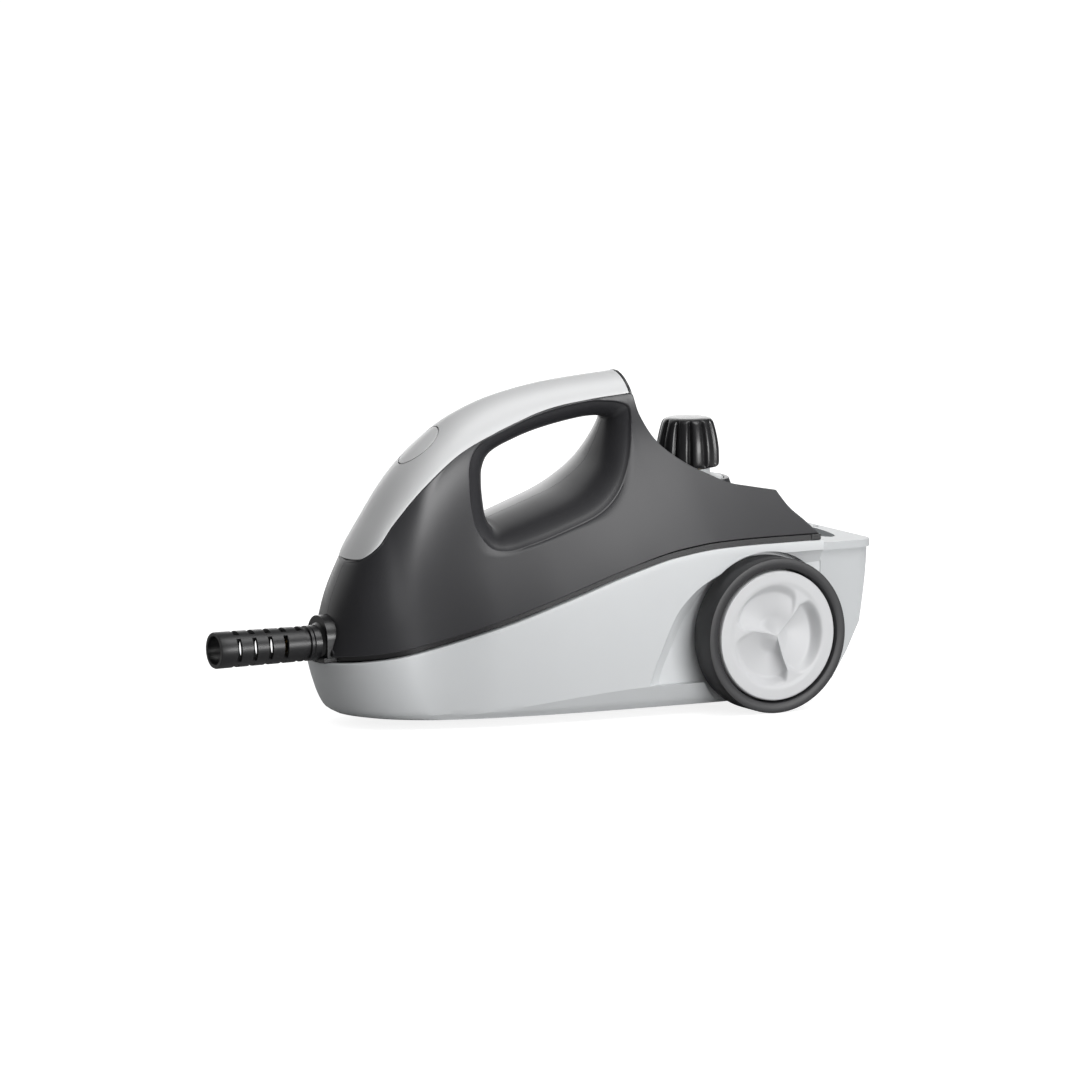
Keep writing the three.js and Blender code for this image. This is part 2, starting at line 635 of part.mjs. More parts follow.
// ---- Silver cover over nose and handle -------------------------------------------------------
const coverTop = curve([
  [0, -341, 136.8], [0.05, -335, 148.5], [0.12, -325, 165.5], [0.25, -301, 201], [0.36, -274, 229],
  [0.48, -240, 252], [0.62, -200, 266.2], [0.78, -150, 275], [1, -90, 279.8],
]);
function coverBody(inset, startAt, endAt) {
  const columns = [];
  const steps = 15;
  for (let i = 0; i <= steps; i += 1) {
    const s = startAt + (endAt - startAt) * (i / steps);
    const [topY, topZ] = coverTop(s);
    const [edgeY, edgeZ] = pointOn(COVER_LINE, Math.min(Math.max(0.012 + s * 0.988, 0), 1));
    const edgeX = Math.max(flank(edgeY, edgeZ), LAND_X + 1);
    const column = [];
    for (let j = 0; j <= 4; j += 1) {
      const turn = (j / 4) * (Math.PI / 2);
      const y = topY + (edgeY - topY) * (1 - Math.sin(turn) ** 1.15);
      const z = topZ + (edgeZ - topZ) * (1 - Math.sin(turn) ** 1.15);
      column.push([Math.max(edgeX * Math.cos(turn), 1), y, z]);
    }
    columns.push(column.map(([x, y, z]) => [Math.max(x - inset, 0.8), y, z]));
  }
  return mirroredBody(columns);
}
const coverOuter = coverBody(0, 0.01, 1);
const coverInner = coverBody(WALL, 0.045, 0.985).translate(0, WALL * 0.45, -WALL * 1.1);
const lift = coverOuter.translate(0, -0.15, GAP);
const coverShell = cut(lift, coverInner.translate(0, 0, GAP), buttonPrism(0.4, -12, 20));
piece('handle_cover', cut(coverShell, flankBody(), flankBody().mirror([1, 0, 0])), SILVER);

// ---- Seam strip between base and shell -------------------------------------------------------
function stripBody(inset, low, high, rearY) {
  const columns = [];
  const steps = 20;
  for (let i = 0; i <= steps; i += 1) {
    const tip = keelLine(54)[0] + inset;
    const y = tip + (rearY - tip) * (i / steps) ** 1.7;
    const [rim, rimWidth] = baseEdge(y);
    const x = Math.max(rimWidth * noseRounding(y, tip, noseRadius(54)) - inset, 1.2);
    columns.push([[x, y, rim + low], [x, y, rim + high]]);
  }
  return mirroredBody(columns);
}
const strip = cut(
  stripBody(1.2, GAP, SEAM, 51),
  stripBody(4.6, -4, SEAM + 4, 60),
  shellHalf.translate(0, 0, -GAP),
  shellHalf.mirror([1, 0, 0]).translate(0, 0, -GAP),
  hull(0, BASE_FLOOR_Z, 0, 20, 5).translate(0, 0, GAP),
);
piece('seam_strip', strip, BLACK_PLASTIC);

// ---- Hose outlet -----------------------------------------------------------------------------
const NECK_FRONT_Y = -376;
const SLOT = { firstY: -446, pitch: 14.4, count: 5, width: 4.2, sideHalf: 8, topHalf: 7.5 };
piece(
  'hose_flange',
  cut(
    join(
      flangePlate(0, FLANGE_FRONT_Y, flangeRearY),
      rod('y', 13.5, NECK_FRONT_Y, FLANGE_FRONT_Y + 1, [0, RELIEF_Z], 28),
    ),
    rod('y', 6.4, -400, -340, [0, RELIEF_Z], 20),
    strip.translate(0, 0, GAP),
    strip.translate(0, 0, -GAP),
  ),
  BLACK_PLASTIC,
);
function makeRelief() {
  const tube = cut(
    rod('y', RELIEF_RADIUS, RELIEF_END_Y, NECK_FRONT_Y - GAP, [0, RELIEF_Z], 20),
    rod('y', RELIEF_BORE, RELIEF_END_Y - 1, NECK_FRONT_Y - 6, [0, RELIEF_Z], 16),
    rod('y', 6.4, -400, -370, [0, RELIEF_Z], 20),
  );
  const slots = [];
  for (let i = 0; i < SLOT.count; i += 1) {
    const y = SLOT.firstY + i * SLOT.pitch;
    const [low, high] = [y - SLOT.width / 2, y + SLOT.width / 2];
    for (const side of [-1, 1]) {
      const top = [RELIEF_Z + side * 8, RELIEF_Z + side * 20].sort((a, b) => a - b);
      slots.push(block([-SLOT.topHalf, low, top[0]], [SLOT.topHalf, high, top[1]]));
    }
    if (i < SLOT.count - 1) {
      slots.push(block([-20, low, RELIEF_Z - SLOT.sideHalf], [20, high, RELIEF_Z + SLOT.sideHalf]));
    }
  }
  return cut(tube, ...slots);
}
piece('hose_relief', makeRelief(), RUBBER);
piece('hose_fitting', tubeOf('y', 6, 3.5, -400, -338.6, [0, RELIEF_Z], 16), BRASS);

// ---- Boiler ----------------------------------------------------------------------------------
const BOILER = { halfX: 58, halfY: 72, corner: 45, wall: 4, flange: 6, bottomZ: 80, topZ: 150 };
const BOLTS = [[61.2, -62], [61.2, -18], [-61.2, -62], [-61.2, -18]];

function boilerOutline(grow) {
  const outline = [];
  const radius = BOILER.corner + grow;
  for (let i = 0; i < 16; i += 1) {
    const angle = ((i + 0.5) / 16) * 2 * Math.PI;
    const x = Math.sign(Math.cos(angle)) * (BOILER.halfX - BOILER.corner) + radius * Math.cos(angle);
    const y = Math.sign(Math.sin(angle)) * (BOILER.halfY - BOILER.corner) + radius * Math.sin(angle);
    outline.push([x, BOILER_Y + y]);
  }
  return outline;
}
const boilerSlab = (grow, from, to) => planPlate(boilerOutline(grow), from, to);
const boltRods = (radius, from, to) => BOLTS.map(([x, y]) => rod('z', radius, from, to, [x, y], 12));
function boilerHalf(outerZ, seamZ, flangeDepth) {
  const up = Math.sign(outerZ - seamZ);
  const span = (a, b) => [Math.min(a, b), Math.max(a, b)];
  return cut(
    join(
      boilerSlab(-8, ...span(outerZ, outerZ - up * 8)),
      boilerSlab(0, ...span(outerZ - up * 6, seamZ)),
      boilerSlab(BOILER.flange, ...span(seamZ + up * flangeDepth, seamZ)),
      ...boltRods(6.5, ...span(seamZ + up * flangeDepth, seamZ)),
    ),
    boilerSlab(-BOILER.wall, ...span(outerZ - up * (BOILER.wall + 6), seamZ - up * 2)),
    boilerSlab(-BOILER.wall - 8, ...span(outerZ - up * BOILER.wall, seamZ)),
    ...boltRods(2.9, 90, 140),
  );
}
const GASKET_Z = [BOILER_SEAM_Z - 1.5, BOILER_SEAM_Z + 1.5];
const ELEMENT = { x: 20, z: 94, rearY: -2, frontY: -128, radius: 4 };
const elementHoles = [-1, 1].map((side) =>
  rod('y', ELEMENT.radius + 0.4, -140, -90, [side * ELEMENT.x, ELEMENT.z], 14),
);
piece(
  'boiler_bottom',
  cut(boilerHalf(BOILER.bottomZ, GASKET_Z[0] - GAP, 4), ...elementHoles),
  ALUMINIUM,
);
const STEAM_PORT_Y = -96;
piece(
  'boiler_top',
  cut(
    boilerHalf(BOILER.topZ, GASKET_Z[1] + GAP, 4),
    rod('z', 9.8, 120, 160, [0, KNOB_Y], 24),
    rod('z', 2, 120, 160, [0, STEAM_PORT_Y], 12),
  ),
  ALUMINIUM,
);
piece(
  'boiler_gasket',
  cut(
    join(boilerSlab(BOILER.flange, ...GASKET_Z), ...boltRods(6.5, ...GASKET_Z)),
    boilerSlab(-BOILER.wall, GASKET_Z[0] - 1, GASKET_Z[1] + 1),
    ...boltRods(2.9, 100, 130),
  ),
  SILICONE,
);
const elementPath = [];
for (const side of [-1, 1]) {
  const leg = [ELEMENT.frontY, -100, -60, -25].map((y) => [side * ELEMENT.x, y, ELEMENT.z]);
  elementPath.push(...(side < 0 ? leg : [[0, ELEMENT.rearY, ELEMENT.z], ...leg.reverse()]));
}
piece('heating_element', pipe(elementPath, ELEMENT.radius, 20, 8), STEEL);
BOLTS.forEach(([x, y], i) => {
  const bolt = join(
    rod('z', 2.5, 106, 122.5, [x, y], 12),
    rod('z', 2.9, 122.4, 126, [x, y], 6),
  );
  piece(`boiler_screw_${i + 1}`, bolt, STEEL);
});
FOOT_SPOTS.forEach(([x, y], i) => {
  const foot = rod('z', 7, FOOT_TOP_Z - 8, FOOT_TOP_Z - GAP, [x, y], 16);
  piece(`boiler_foot_${i + 1}`, foot, SILICONE);
});
piece(
  'filler_neck',
  turned(
    [[9.8, 150.3], [14, 150.3], [14, 154], [13, 155], [13, NECK_TOP_Z - 2], [12, NECK_TOP_Z],
      [9.8, NECK_TOP_Z], [9.8, 150.3]],
    20, { y: KNOB_Y },
  ),
  BRASS,
);
piece(
  'filler_collar',
  turned(
    [[17, DECK_BOSS_Z + GAP], [30, DECK_BOSS_Z + GAP], [30, 185], [27.5, 187.2], [17, 187.2],
      [17, DECK_BOSS_Z + GAP]],
    32, { y: KNOB_Y },
  ),
  PALE_GREY,
);
piece('thermostat', rod('z', 9, 150.3, 157, [32, -78], 20), BLACK_PLASTIC);
piece('thermal_fuse', rod('y', 3, -86, -62, [-32, 153.6], 12), STEEL);
piece(
  'safety_valve',
  join(rod('z', 6, 150.3, 160, [-22, -42], 6), rod('z', 4, 159, 166, [-22, -42], 14)),
  BRASS,
);
const VALVE = { low: [-11, -170, 96], high: [11, -146, 118], z: 107 };
piece('steam_valve', block(VALVE.low, VALVE.high), BRASS);
piece(
  'steam_pipe_rear',
  pipe([[0, STEAM_PORT_Y, 150.8], [0, -97, 157], [0, -108, 161], [0, -120, 154], [0, -126, 135],
    [0, -131, 113], [0, -138, VALVE.z], [0, VALVE.high[1] + 0.6, VALVE.z]], 3, 18, 6),
  STEEL,
);
piece(
  'steam_pipe_front',
  pipe([[0, VALVE.low[1] - 0.6, VALVE.z], [0, -182, 106], [0, -205, 100], [0, -255, 82], [0, -305, 71],
    [0, -338.2, RELIEF_Z]], 3, 12, 6),
  STEEL,
);

// ---- Power button, switch and wiring ---------------------------------------------------------
function helix(radius, wire, length, turns) {
  const points = [];
  const count = turns * 6;
  for (let i = 0; i <= count; i += 1) {
    const angle = (i / 6) * 2 * Math.PI;
    const height = wire + (length - 2 * wire) * (i / count);
    points.push(new THREE.Vector3(radius * Math.cos(angle), radius * Math.sin(angle), height));
  }
  const section = new THREE.Shape(
    ellipseOutline(wire, wire, 0, 0, 4).map(([a, b]) => new THREE.Vector2(a, b)),
  );
  const path = new THREE.CatmullRomCurve3(points);
  return new THREE.ExtrudeGeometry(section, { steps: turns * 8, extrudePath: path });
}
piece('power_button', coverOuter.translate(0, -0.15, GAP).intersect(buttonPrism(0, -7, 12)), SILVER);
piece(
  'button_spring',
  solid(helix(6, 0.6, 6.4, 3).translate(0, 0, -14), { rx: BUTTON.lean, y: BUTTON.y, z: BUTTON.z }),
  STEEL,
);
piece('power_switch', buttonPrism(-4, -23.6, -14.6, 16), BLACK_PLASTIC);
piece('terminal_block', block([22, -214, 10.8], [50, -192, 24]), BLACK_PLASTIC);
piece(
  'wire_switch',
  pipe([[2.5, -262, 206], [2.5, -262, 190], [2.5, -262, 162], [14, -256, 120], [25, -236, 60],
    [30, -212, 26]], 1.5, 18, 5),
  WIRE_BROWN,
);
piece(
  'wire_thermostat',
  pipe([[42, -196, 25], [46, -176, 50], [58, -136, 110], [56, -118, 146], [46, -98, 160],
    [36, -82, 158.8]], 1.5, 18, 5),
  WIRE_BLUE,
);

// ---- Safety cap ------------------------------------------------------------------------------
const KNOB = { bottomZ: 195, topZ: 236, flutes: 12, cavity: 20, ceilingZ: 228 };
function flutedKnob() {
  const profile = [
    [25.6, 195], [26.5, 197], [26.2, 208], [24.6, 220], [22, 230], [19.6, 235], [17, 236],
  ];
  const sides = KNOB.flutes * 3;
  const rings = profile.map(([radius, z], level) => {
    const ring = [];
    const depth = level > 0 && level < 6 ? 1.9 : 0.4;
    for (let i = 0; i < sides; i += 1) {
      const angle = (i / sides) * 2 * Math.PI;
      const r = radius - (i % 3 === 0 ? depth : 0);
      ring.push([r * Math.cos(angle), KNOB_Y + r * Math.sin(angle), z]);
    }
    return ring;
  });
  const faces = [];
  for (let k = 0; k < rings.length - 1; k += 1) {
    for (let i = 0; i < sides; i += 1) {
      const n = (i + 1) % sides;
      quad(faces, rings[k][i], rings[k][n], rings[k + 1][n], rings[k + 1][i]);
    }
  }
  for (let i = 0; i < sides; i += 1) {
    const n = (i + 1) % sides;
    faces.push([rings[0][n], rings[0][i], [0, KNOB_Y, KNOB.bottomZ]]);
    faces.push([rings[6][i], rings[6][n], [0, KNOB_Y, KNOB.topZ]]);
  }
  return facets(faces);
}
piece(
  'cap_knob',
  cut(flutedKnob(), rod('z', KNOB.cavity, 190, KNOB.ceilingZ, [0, KNOB_Y], 24)),
  BLACK_PLASTIC,
);
piece(
  'cap_stem',
  cut(
    turned(
      [[0, 174], [8.6, 174], [9.3, 175], [9.3, 191.3], [15, 191.3], [15, 194.5], [6, 194.5],
        [6, 214], [0, 214]],
      16, { y: KNOB_Y },
    ),
    rod('z', 3.3, 170, 186, [0, KNOB_Y], 16),
  ),
  BRASS,
);
piece('cap_washer', tubeOf('z', 14, 9.7, 190.2, 191, [0, KNOB_Y], 24), SILICONE);
piece('relief_plunger', rod('z', 3, 174.4, 185.6, [0, KNOB_Y], 14), STEEL);
piece(
  'cap_spring',
  solid(helix(8.5, 0.8, 13.4, 4), { y: KNOB_Y, z: 214.3 }),
  STEEL,
);

// ---- Rear wheels -----------------------------------------------------------------------------
const AXLE_END_X = 108;
piece('axle', rod('x', AXLE_RADIUS, -AXLE_END_X, AXLE_END_X, [0, TYRE_RADIUS], 20), STEEL);

function hubCap() {
  const disc = turned(
    [[0, 109.3], [46, 109.3], [46, 112], [HUB_RADIUS, 112], [HUB_RADIUS, 121], [54.2, 121.6],
      [46, 121.6], [43, 120.8], [0, 119.6]],
    32,
  );
  const pockets = [0, 1, 2].map((i) => {
    const angle = (i / 3) * 2 * Math.PI + 0.5;
    const scoop = new THREE.SphereGeometry(1, 12, 8).scale(20, 23, 9);
    scoop.rotateZ(angle);
    return solid(scoop, { x: 24 * Math.cos(angle), y: 24 * Math.sin(angle), z: 121.6 });
  });
  return cut(disc, ...pockets);
}
// Bodies of revolution about the axle, drawn as [radius, distance from the middle].
function onAxle(body, side) {
  const outward = body.rotate([0, 90, 0]);
  return (side > 0 ? outward : outward.mirror([1, 0, 0])).translate(0, 0, TYRE_RADIUS);
}
const tyreProfile = [
  [55.9, WHEEL_BACK_X + 0.5], [63.5, WHEEL_BACK_X], [TYRE_RADIUS, WHEEL_BACK_X + 1.5],
  [TYRE_RADIUS, WHEEL_FACE_X - 1.5], [63.5, WHEEL_FACE_X], [55.9, WHEEL_FACE_X],
  [55.9, WHEEL_BACK_X + 0.5],
];
const wheelProfile = [
  [4.4, 94.3], [12, 94.3], [12, 98], [48, 98], [48, 96], [55.6, 96], [55.6, 111.7], [48, 111.7],
  [48, 101], [12, 101], [12, 103], [4.4, 103], [4.4, 94.3],
];
for (const [side, word] of [[1, 'left'], [-1, 'right']]) {
  piece(`tyre_${word}`, onAxle(turned(tyreProfile, 48), side), RUBBER);
  piece(`wheel_${word}`, onAxle(turned(wheelProfile, 24), side), BLACK_PLASTIC);
  piece(`hub_cap_${word}`, onAxle(hubCap(), side), PALE_GREY);
  piece(`axle_clip_${word}`, onAxle(tubeOf('z', 8, 4.2, 104, 107, [0, 0], 16), side), STEEL);
  const bush = join(tubeOf('z', 9, 4.4, 84, 90.4, [0, 0], 14), tubeOf('z', 12, 4.4, 90.3, 93, [0, 0], 14));
  piece(`axle_bush_${word}`, onAxle(bush, side), BLACK_PLASTIC);
}

// ---- Front caster ----------------------------------------------------------------------------
const CASTER_AXLE_Y = CASTER_Y + CASTER_TRAIL;
const WELL_ROOF_Z = CASTER_WELL.roofZ + CASTER_WELL.wall;
piece(
  'caster_socket',
  turned(
    [[5.4, 36], [11, 36], [11, WELL_ROOF_Z + GAP], [14, WELL_ROOF_Z + GAP], [14, 43.5], [11, 43.5],
      [11, 54], [5.4, 54], [5.4, 36]],
    16, { y: CASTER_Y },
  ),
  BLACK_PLASTIC,
);
const cheek = [
  [CASTER_Y - 8, 31.5], [CASTER_Y + 11, 31.5], [CASTER_AXLE_Y + 5, CASTER_RADIUS],
  [CASTER_AXLE_Y, 10], [CASTER_AXLE_Y - 5, CASTER_RADIUS],
];
piece(
  'caster_fork',
  cut(
    join(
      rod('z', 5, 33, 53, [0, CASTER_Y], 16),
      rod('z', 12.5, 31, 35.6, [0, CASTER_Y], 24),
      sidePlate(cheek, 8.8, 11),
      sidePlate(cheek, -11, -8.8),
    ),
    rod('x', 2.3, -20, 20, [CASTER_AXLE_Y, CASTER_RADIUS], 12),
  ),
  BLACK_PLASTIC,
);
piece('caster_pin', rod('x', 2, -10.8, 10.8, [CASTER_AXLE_Y, CASTER_RADIUS], 12), STEEL);
const rollerProfile = [[2.3, -8], [14, -8], [15, -7], [15, 7], [14, 8], [2.3, 8], [2.3, -8]];
const roller = turned(rollerProfile, 24).rotate([0, 90, 0]);
piece('caster_wheel', roller.translate(0, CASTER_AXLE_Y, CASTER_RADIUS), RUBBER);

// ---- Case screws -----------------------------------------------------------------------------
SCREW_SPOTS.forEach(([x, y], i) => {
  const screw = join(rod('z', 3, 23, 25.7, [x, y], 12), rod('z', 1.6, 25.6, 64, [x, y], 8));
  piece(`case_screw_${i + 1}`, screw, STEEL);
});

export default object;
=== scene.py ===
# %% [markdown]
# # A canister steam cleaner, dressed around its engineering frame
# The machine looks like a large clothes iron on two wheels. Every screw, casting and axle is
# already there as an engineering frame with real sizes. This lesson keeps that frame, gives its
# metal and rubber parts finishes, and makes the moulded skins again with finer surfaces, because
# smooth plastic is where coarse facets show first.

import math

import bmesh
import bpy
from mathutils import Matrix, Vector


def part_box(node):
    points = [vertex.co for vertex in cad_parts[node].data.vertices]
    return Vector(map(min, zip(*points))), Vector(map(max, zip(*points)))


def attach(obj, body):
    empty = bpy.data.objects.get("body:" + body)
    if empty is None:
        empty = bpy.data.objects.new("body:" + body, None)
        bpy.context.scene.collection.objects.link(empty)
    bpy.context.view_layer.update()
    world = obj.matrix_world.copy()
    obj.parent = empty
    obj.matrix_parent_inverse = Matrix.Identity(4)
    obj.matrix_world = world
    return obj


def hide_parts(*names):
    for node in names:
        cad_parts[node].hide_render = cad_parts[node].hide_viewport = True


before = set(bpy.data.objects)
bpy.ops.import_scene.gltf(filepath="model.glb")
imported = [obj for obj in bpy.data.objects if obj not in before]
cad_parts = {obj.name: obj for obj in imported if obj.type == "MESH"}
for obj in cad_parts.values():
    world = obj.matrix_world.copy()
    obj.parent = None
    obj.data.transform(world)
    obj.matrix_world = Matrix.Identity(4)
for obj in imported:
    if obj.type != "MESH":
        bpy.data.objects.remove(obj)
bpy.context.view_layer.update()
MM = 0.001
axle_low, axle_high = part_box("axle")
AXLE = (axle_low + axle_high) / 2
AXLE_Z = AXLE.z / MM
print("the frame has", len(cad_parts), "parts; the axle lies at", [round(v, 4) for v in AXLE])

# %% [markdown]
# ## Drawing in millimetres from the axle
# The shapes are drawn as a mould maker would: in millimetres, measured from the rear axle, with
# the floor at height nought. One function puts such a point into the frame.

# %% Points and smooth lines
def place(x, y, z):
    return Vector((x * MM, y * MM + AXLE.y, z * MM))


def clamp(value, low=0.0, high=1.0):
    return min(max(value, low), high)


def ease(value, start=0.0, end=1.0):
    """Goes gently from 0 at start to 1 at end."""
    t = clamp((value - start) / (end - start))
    return t * t * (3 - 2 * t)


def rule(rows):
    """A smooth rule through rows of (place, value, value ...) that never overshoots."""
    count = len(rows)

    def slope(i, k):
        return (rows[i + 1][k] - rows[i][k]) / (rows[i + 1][0] - rows[i][0])

    def tangent(i, k):
        if i == 0:
            return slope(0, k)
        if i == count - 1:
            return slope(count - 2, k)
        before, after = slope(i - 1, k), slope(i, k)
        return 2 * before * after / (before + after) if before * after > 0 else 0.0

    def at(where):
        t = clamp(where, rows[0][0], rows[-1][0])
        i = 0
        while i < count - 2 and t > rows[i + 1][0]:
            i += 1
        h = rows[i + 1][0] - rows[i][0]
        u = (t - rows[i][0]) / h
        values = []
        for k in range(1, len(rows[0])):
            start = (1 + 2 * u) * (1 - u) ** 2 * rows[i][k] + u * (1 - u) ** 2 * h * tangent(i, k)
            end = u * u * (3 - 2 * u) * rows[i + 1][k] - u * u * (1 - u) * h * tangent(i + 1, k)
            values.append(start + end)
        return values

    return at


print("half way along a rule from 0 to 10:", rule([(0, 0), (1, 10)])(0.5))

# %% [markdown]
# A rule gives a value for a place. A styled edge also needs to turn back over itself, so it is
# drawn as a smooth line through points. The line is paced by the distance between its points,
# which keeps it from making loops where two points lie close together.

# %% Smooth lines through points
def through(points, closed=False):
    """A smooth line through points in the side view; its place is counted in points."""
    count = len(points)

    def pick(i):
        if closed:
            return Vector(points[i % count])
        if i < 0:
            return 2 * Vector(points[0]) - Vector(points[1])
        if i > count - 1:
            return 2 * Vector(points[-1]) - Vector(points[-2])
        return Vector(points[i])

    def at(where):
        i = math.floor(where) if closed else min(math.floor(where), count - 2)
        p = [pick(i + k) for k in (-1, 0, 1, 2)]
        t = [0.0]
        for a, b in zip(p, p[1:]):
            t.append(t[-1] + max((b - a).length, 1e-6) ** 0.5)
        s = t[1] + (where - i) * (t[2] - t[1])
        first = [p[k].lerp(p[k + 1], (s - t[k]) / (t[k + 1] - t[k])) for k in range(3)]
        second = [first[k].lerp(first[k + 1], (s - t[k]) / (t[k + 2] - t[k])) for k in range(2)]
        return second[0].lerp(second[1], (s - t[1]) / (t[2] - t[1]))

    return at


def along(points, samples=320):
    """The same smooth line, with its place given as a share of its length."""
    line = through(points)
    run = [line(i / samples * (len(points) - 1)) for i in range(samples + 1)]
    lengths = [0.0]
    for a, b in zip(run, run[1:]):
        lengths.append(lengths[-1] + (b - a).length)

    def at(share):
        want = clamp(share) * lengths[-1]
        i = 0
        while i < samples - 1 and lengths[i + 1] < want:
            i += 1
        return run[i].lerp(run[i + 1], (want - lengths[i]) / max(lengths[i + 1] - lengths[i], 1e-9))

    return at


print("two kinds of smooth line are ready")

# %% [markdown]
# ## The rules of the side view
# A styled body like this is drawn from a few ruling lines: the rim where base and upper shell
# meet, the edge of the silver cover, and the middle line of the nose. The half width of the body
# then follows from where a point lies between rim and cover.

# %% The ruling lines
SEAM = 5.0
REAR_SEAM_Y = 54.0
BASE_FLOOR_Z = 7.5
HANDLE_REAR_Y = -85.5
FIN_HEIGHT = 123.0
FLANK_POWER = 1.6
KNOB_Y = -17.6
rim_rule = rule([
    (-371, 54, 58), (-310, 63.5, 63.5), (-239, 83.5, 84), (-183, 103, 95), (-125, 123, 101),
    (-84, 134, 103), (-43, 139, 103.8), (0, 140, 104), (56, 140, 104.5),
])
cover_rule = rule([
    (-345, 125, 50), (-325, 149.3, 42), (-311, 166.6, 36.5), (-284, 196, 32), (-249, 221.3, 27.5),
    (-206, 239.2, 23), (-164, 253, 21), (-122, 259, 20.5), (-85.5, 262, 20),
])
nose_rule = rule([
    (54, -370.5), (80, -362), (103, -356), (134, -343), (159, -329), (181, -315), (201, -301),
    (216, -287), (240.5, -262), (254.5, -234), (264.6, -206), (271.2, -177.5), (275.2, -149),
    (278.3, -120.6), (279.7, -92),
])
keel_rule = rule([(7.5, -338), (9, -346), (15.6, -356), (38, -366), (54, -370.5)])


RIM_Z, NOSE_ROUND, NOSE_ROUND_MIN, NOSE_ROUND_LOSS = 54, 60, 24, 0.2


def nose_radius(z):
    return max(NOSE_ROUND - NOSE_ROUND_LOSS * (z - RIM_Z), NOSE_ROUND_MIN)


def nose_rounding(y, tip, radius):
    return math.sqrt(1 - (1 - clamp((y - tip) / radius)) ** 2)


def flank(y, z):
    """Half width of the upper body at a point of the side view."""
    rim, rim_width = rim_rule(y)
    bottom = rim + SEAM
    ridge, ridge_width = cover_rule(min(y, HANDLE_REAR_Y))
    height = FIN_HEIGHT if y > HANDLE_REAR_Y else ridge - bottom
    t = clamp((z - bottom) / height)
    width = ridge_width + (rim_width - ridge_width) * (1 - t) ** FLANK_POWER
    return width * nose_rounding(y, nose_rule(z)[0], nose_radius(z))


print("half width of the flank under the handle:", round(flank(-150, 150), 1), "mm")

# %% [markdown]
# ## Lofts, turned bodies and cuts
# Nearly every piece here is a row of equal rings joined into a skin, which workshops call a loft.
# A loft whose last ring meets its first is a hoop, and one with open ends gets a flat cap at each
# end, so every body is closed and can be cut with another. Cutting with closed bodies keeps the
# edges where a real mould would have them.

# %% Mesh helpers
def loft(name, rings, hoop=False):
    """Joins rings of points in millimetres into one closed body."""
    mesh = bpy.data.meshes.new(name)
    work = bmesh.new()
    rows = [[work.verts.new(place(*point)) for point in ring] for ring in rings]
    count = len(rows[0])
    for i in range(len(rows) if hoop else len(rows) - 1):
        here, there = rows[i], rows[(i + 1) % len(rows)]
        for j in range(count):
            k = (j + 1) % count
            work.faces.new((here[j], there[j], there[k], here[k]))
    if not hoop:
        work.faces.new(rows[0])
        work.faces.new(rows[-1])
    bmesh.ops.remove_doubles(work, verts=work.verts, dist=1e-7)
    bmesh.ops.triangulate(work, faces=[f for f in work.faces if len(f.verts) > 4])
    bmesh.ops.recalc_face_normals(work, faces=work.faces)
    work.to_mesh(mesh)
    work.free()
    piece = bpy.data.objects.new(name, mesh)
    bpy.context.scene.collection.objects.link(piece)
    return piece


def both_sides(columns):
    """Columns of points on the left side become rings that go round both sides."""
    return [column + [(-x, y, z) for x, y, z in reversed(column)] for column in columns]


def circle(radius, sides, start=0.0):
    angles = [start + 2 * math.pi * i / sides for i in range(sides)]
    return [(radius * math.cos(a), radius * math.sin(a)) for a in angles]


def bar(name, axis, radius, low, high, centre=(0, 0), sides=64):
    """A round bar along one axis."""
    rings = []
    for at in (low, high):
        ring = [(centre[0] + a, centre[1] + b) for a, b in circle(radius, sides)]
        rings.append([{"x": (at, a, b), "y": (a, at, b), "z": (a, b, at)}[axis] for a, b in ring])
    return loft(name, rings)


def slab(name, low, high):
    (x0, y0, z0), (x1, y1, z1) = low, high
    return loft(name, [[(x0, y, z0), (x1, y, z0), (x1, y, z1), (x0, y, z1)] for y in (y0, y1)])


def turned(name, profile, axis="x", centre=(0, 0), sides=128):
    """A closed profile of (distance along the axis, radius), turned about the axis."""
    rings = []
    for c, s in circle(1, sides):
        ring = []
        for at, r in profile:
            a, b = centre[0] + r * c, centre[1] + r * s
            ring.append({"x": (at, a, b), "y": (a, at, b), "z": (a, b, at)}[axis])
        rings.append(ring)
    return loft(name, rings, hoop=True)


print("loft, bar, slab and turned are ready")

# %% [markdown]
# Once there are closed bodies, one can be cut with another or joined to it. Each cut is settled at
# once and its tool is thrown away. The last helper gives a piece its finish, ties it to the body
# it moves with, and says which piece of the frame it stands in for.

# %% Cuts, soft edges and a place in the frame
def work_with(piece, tools, how):
    for tool in tools:
        change = piece.modifiers.new("work", "BOOLEAN")
        change.operation = how
        change.object = tool
        change.solver = "MANIFOLD"
        settled = piece.evaluated_get(bpy.context.evaluated_depsgraph_get())
        mesh = bpy.data.meshes.new_from_object(settled)
        piece.modifiers.clear()
        old, piece.data = piece.data, mesh
        bpy.data.meshes.remove(old)
        bpy.data.objects.remove(tool)
    return piece


def cut(piece, *tools):
    return work_with(piece, tools, "DIFFERENCE")


def join(piece, *tools):
    return work_with(piece, tools, "UNION")


def overlap(piece, *tools):
    return work_with(piece, tools, "INTERSECT")


def copy_of(piece, name, mirror=False, shift=(0, 0, 0)):
    twin = bpy.data.objects.new(name, piece.data.copy())
    bpy.context.scene.collection.objects.link(twin)
    if mirror:
        twin.data.transform(Matrix.Scale(-1, 4, (1, 0, 0)))
        twin.data.flip_normals()
    twin.data.transform(Matrix.Translation(Vector(shift) * MM))
    return twin


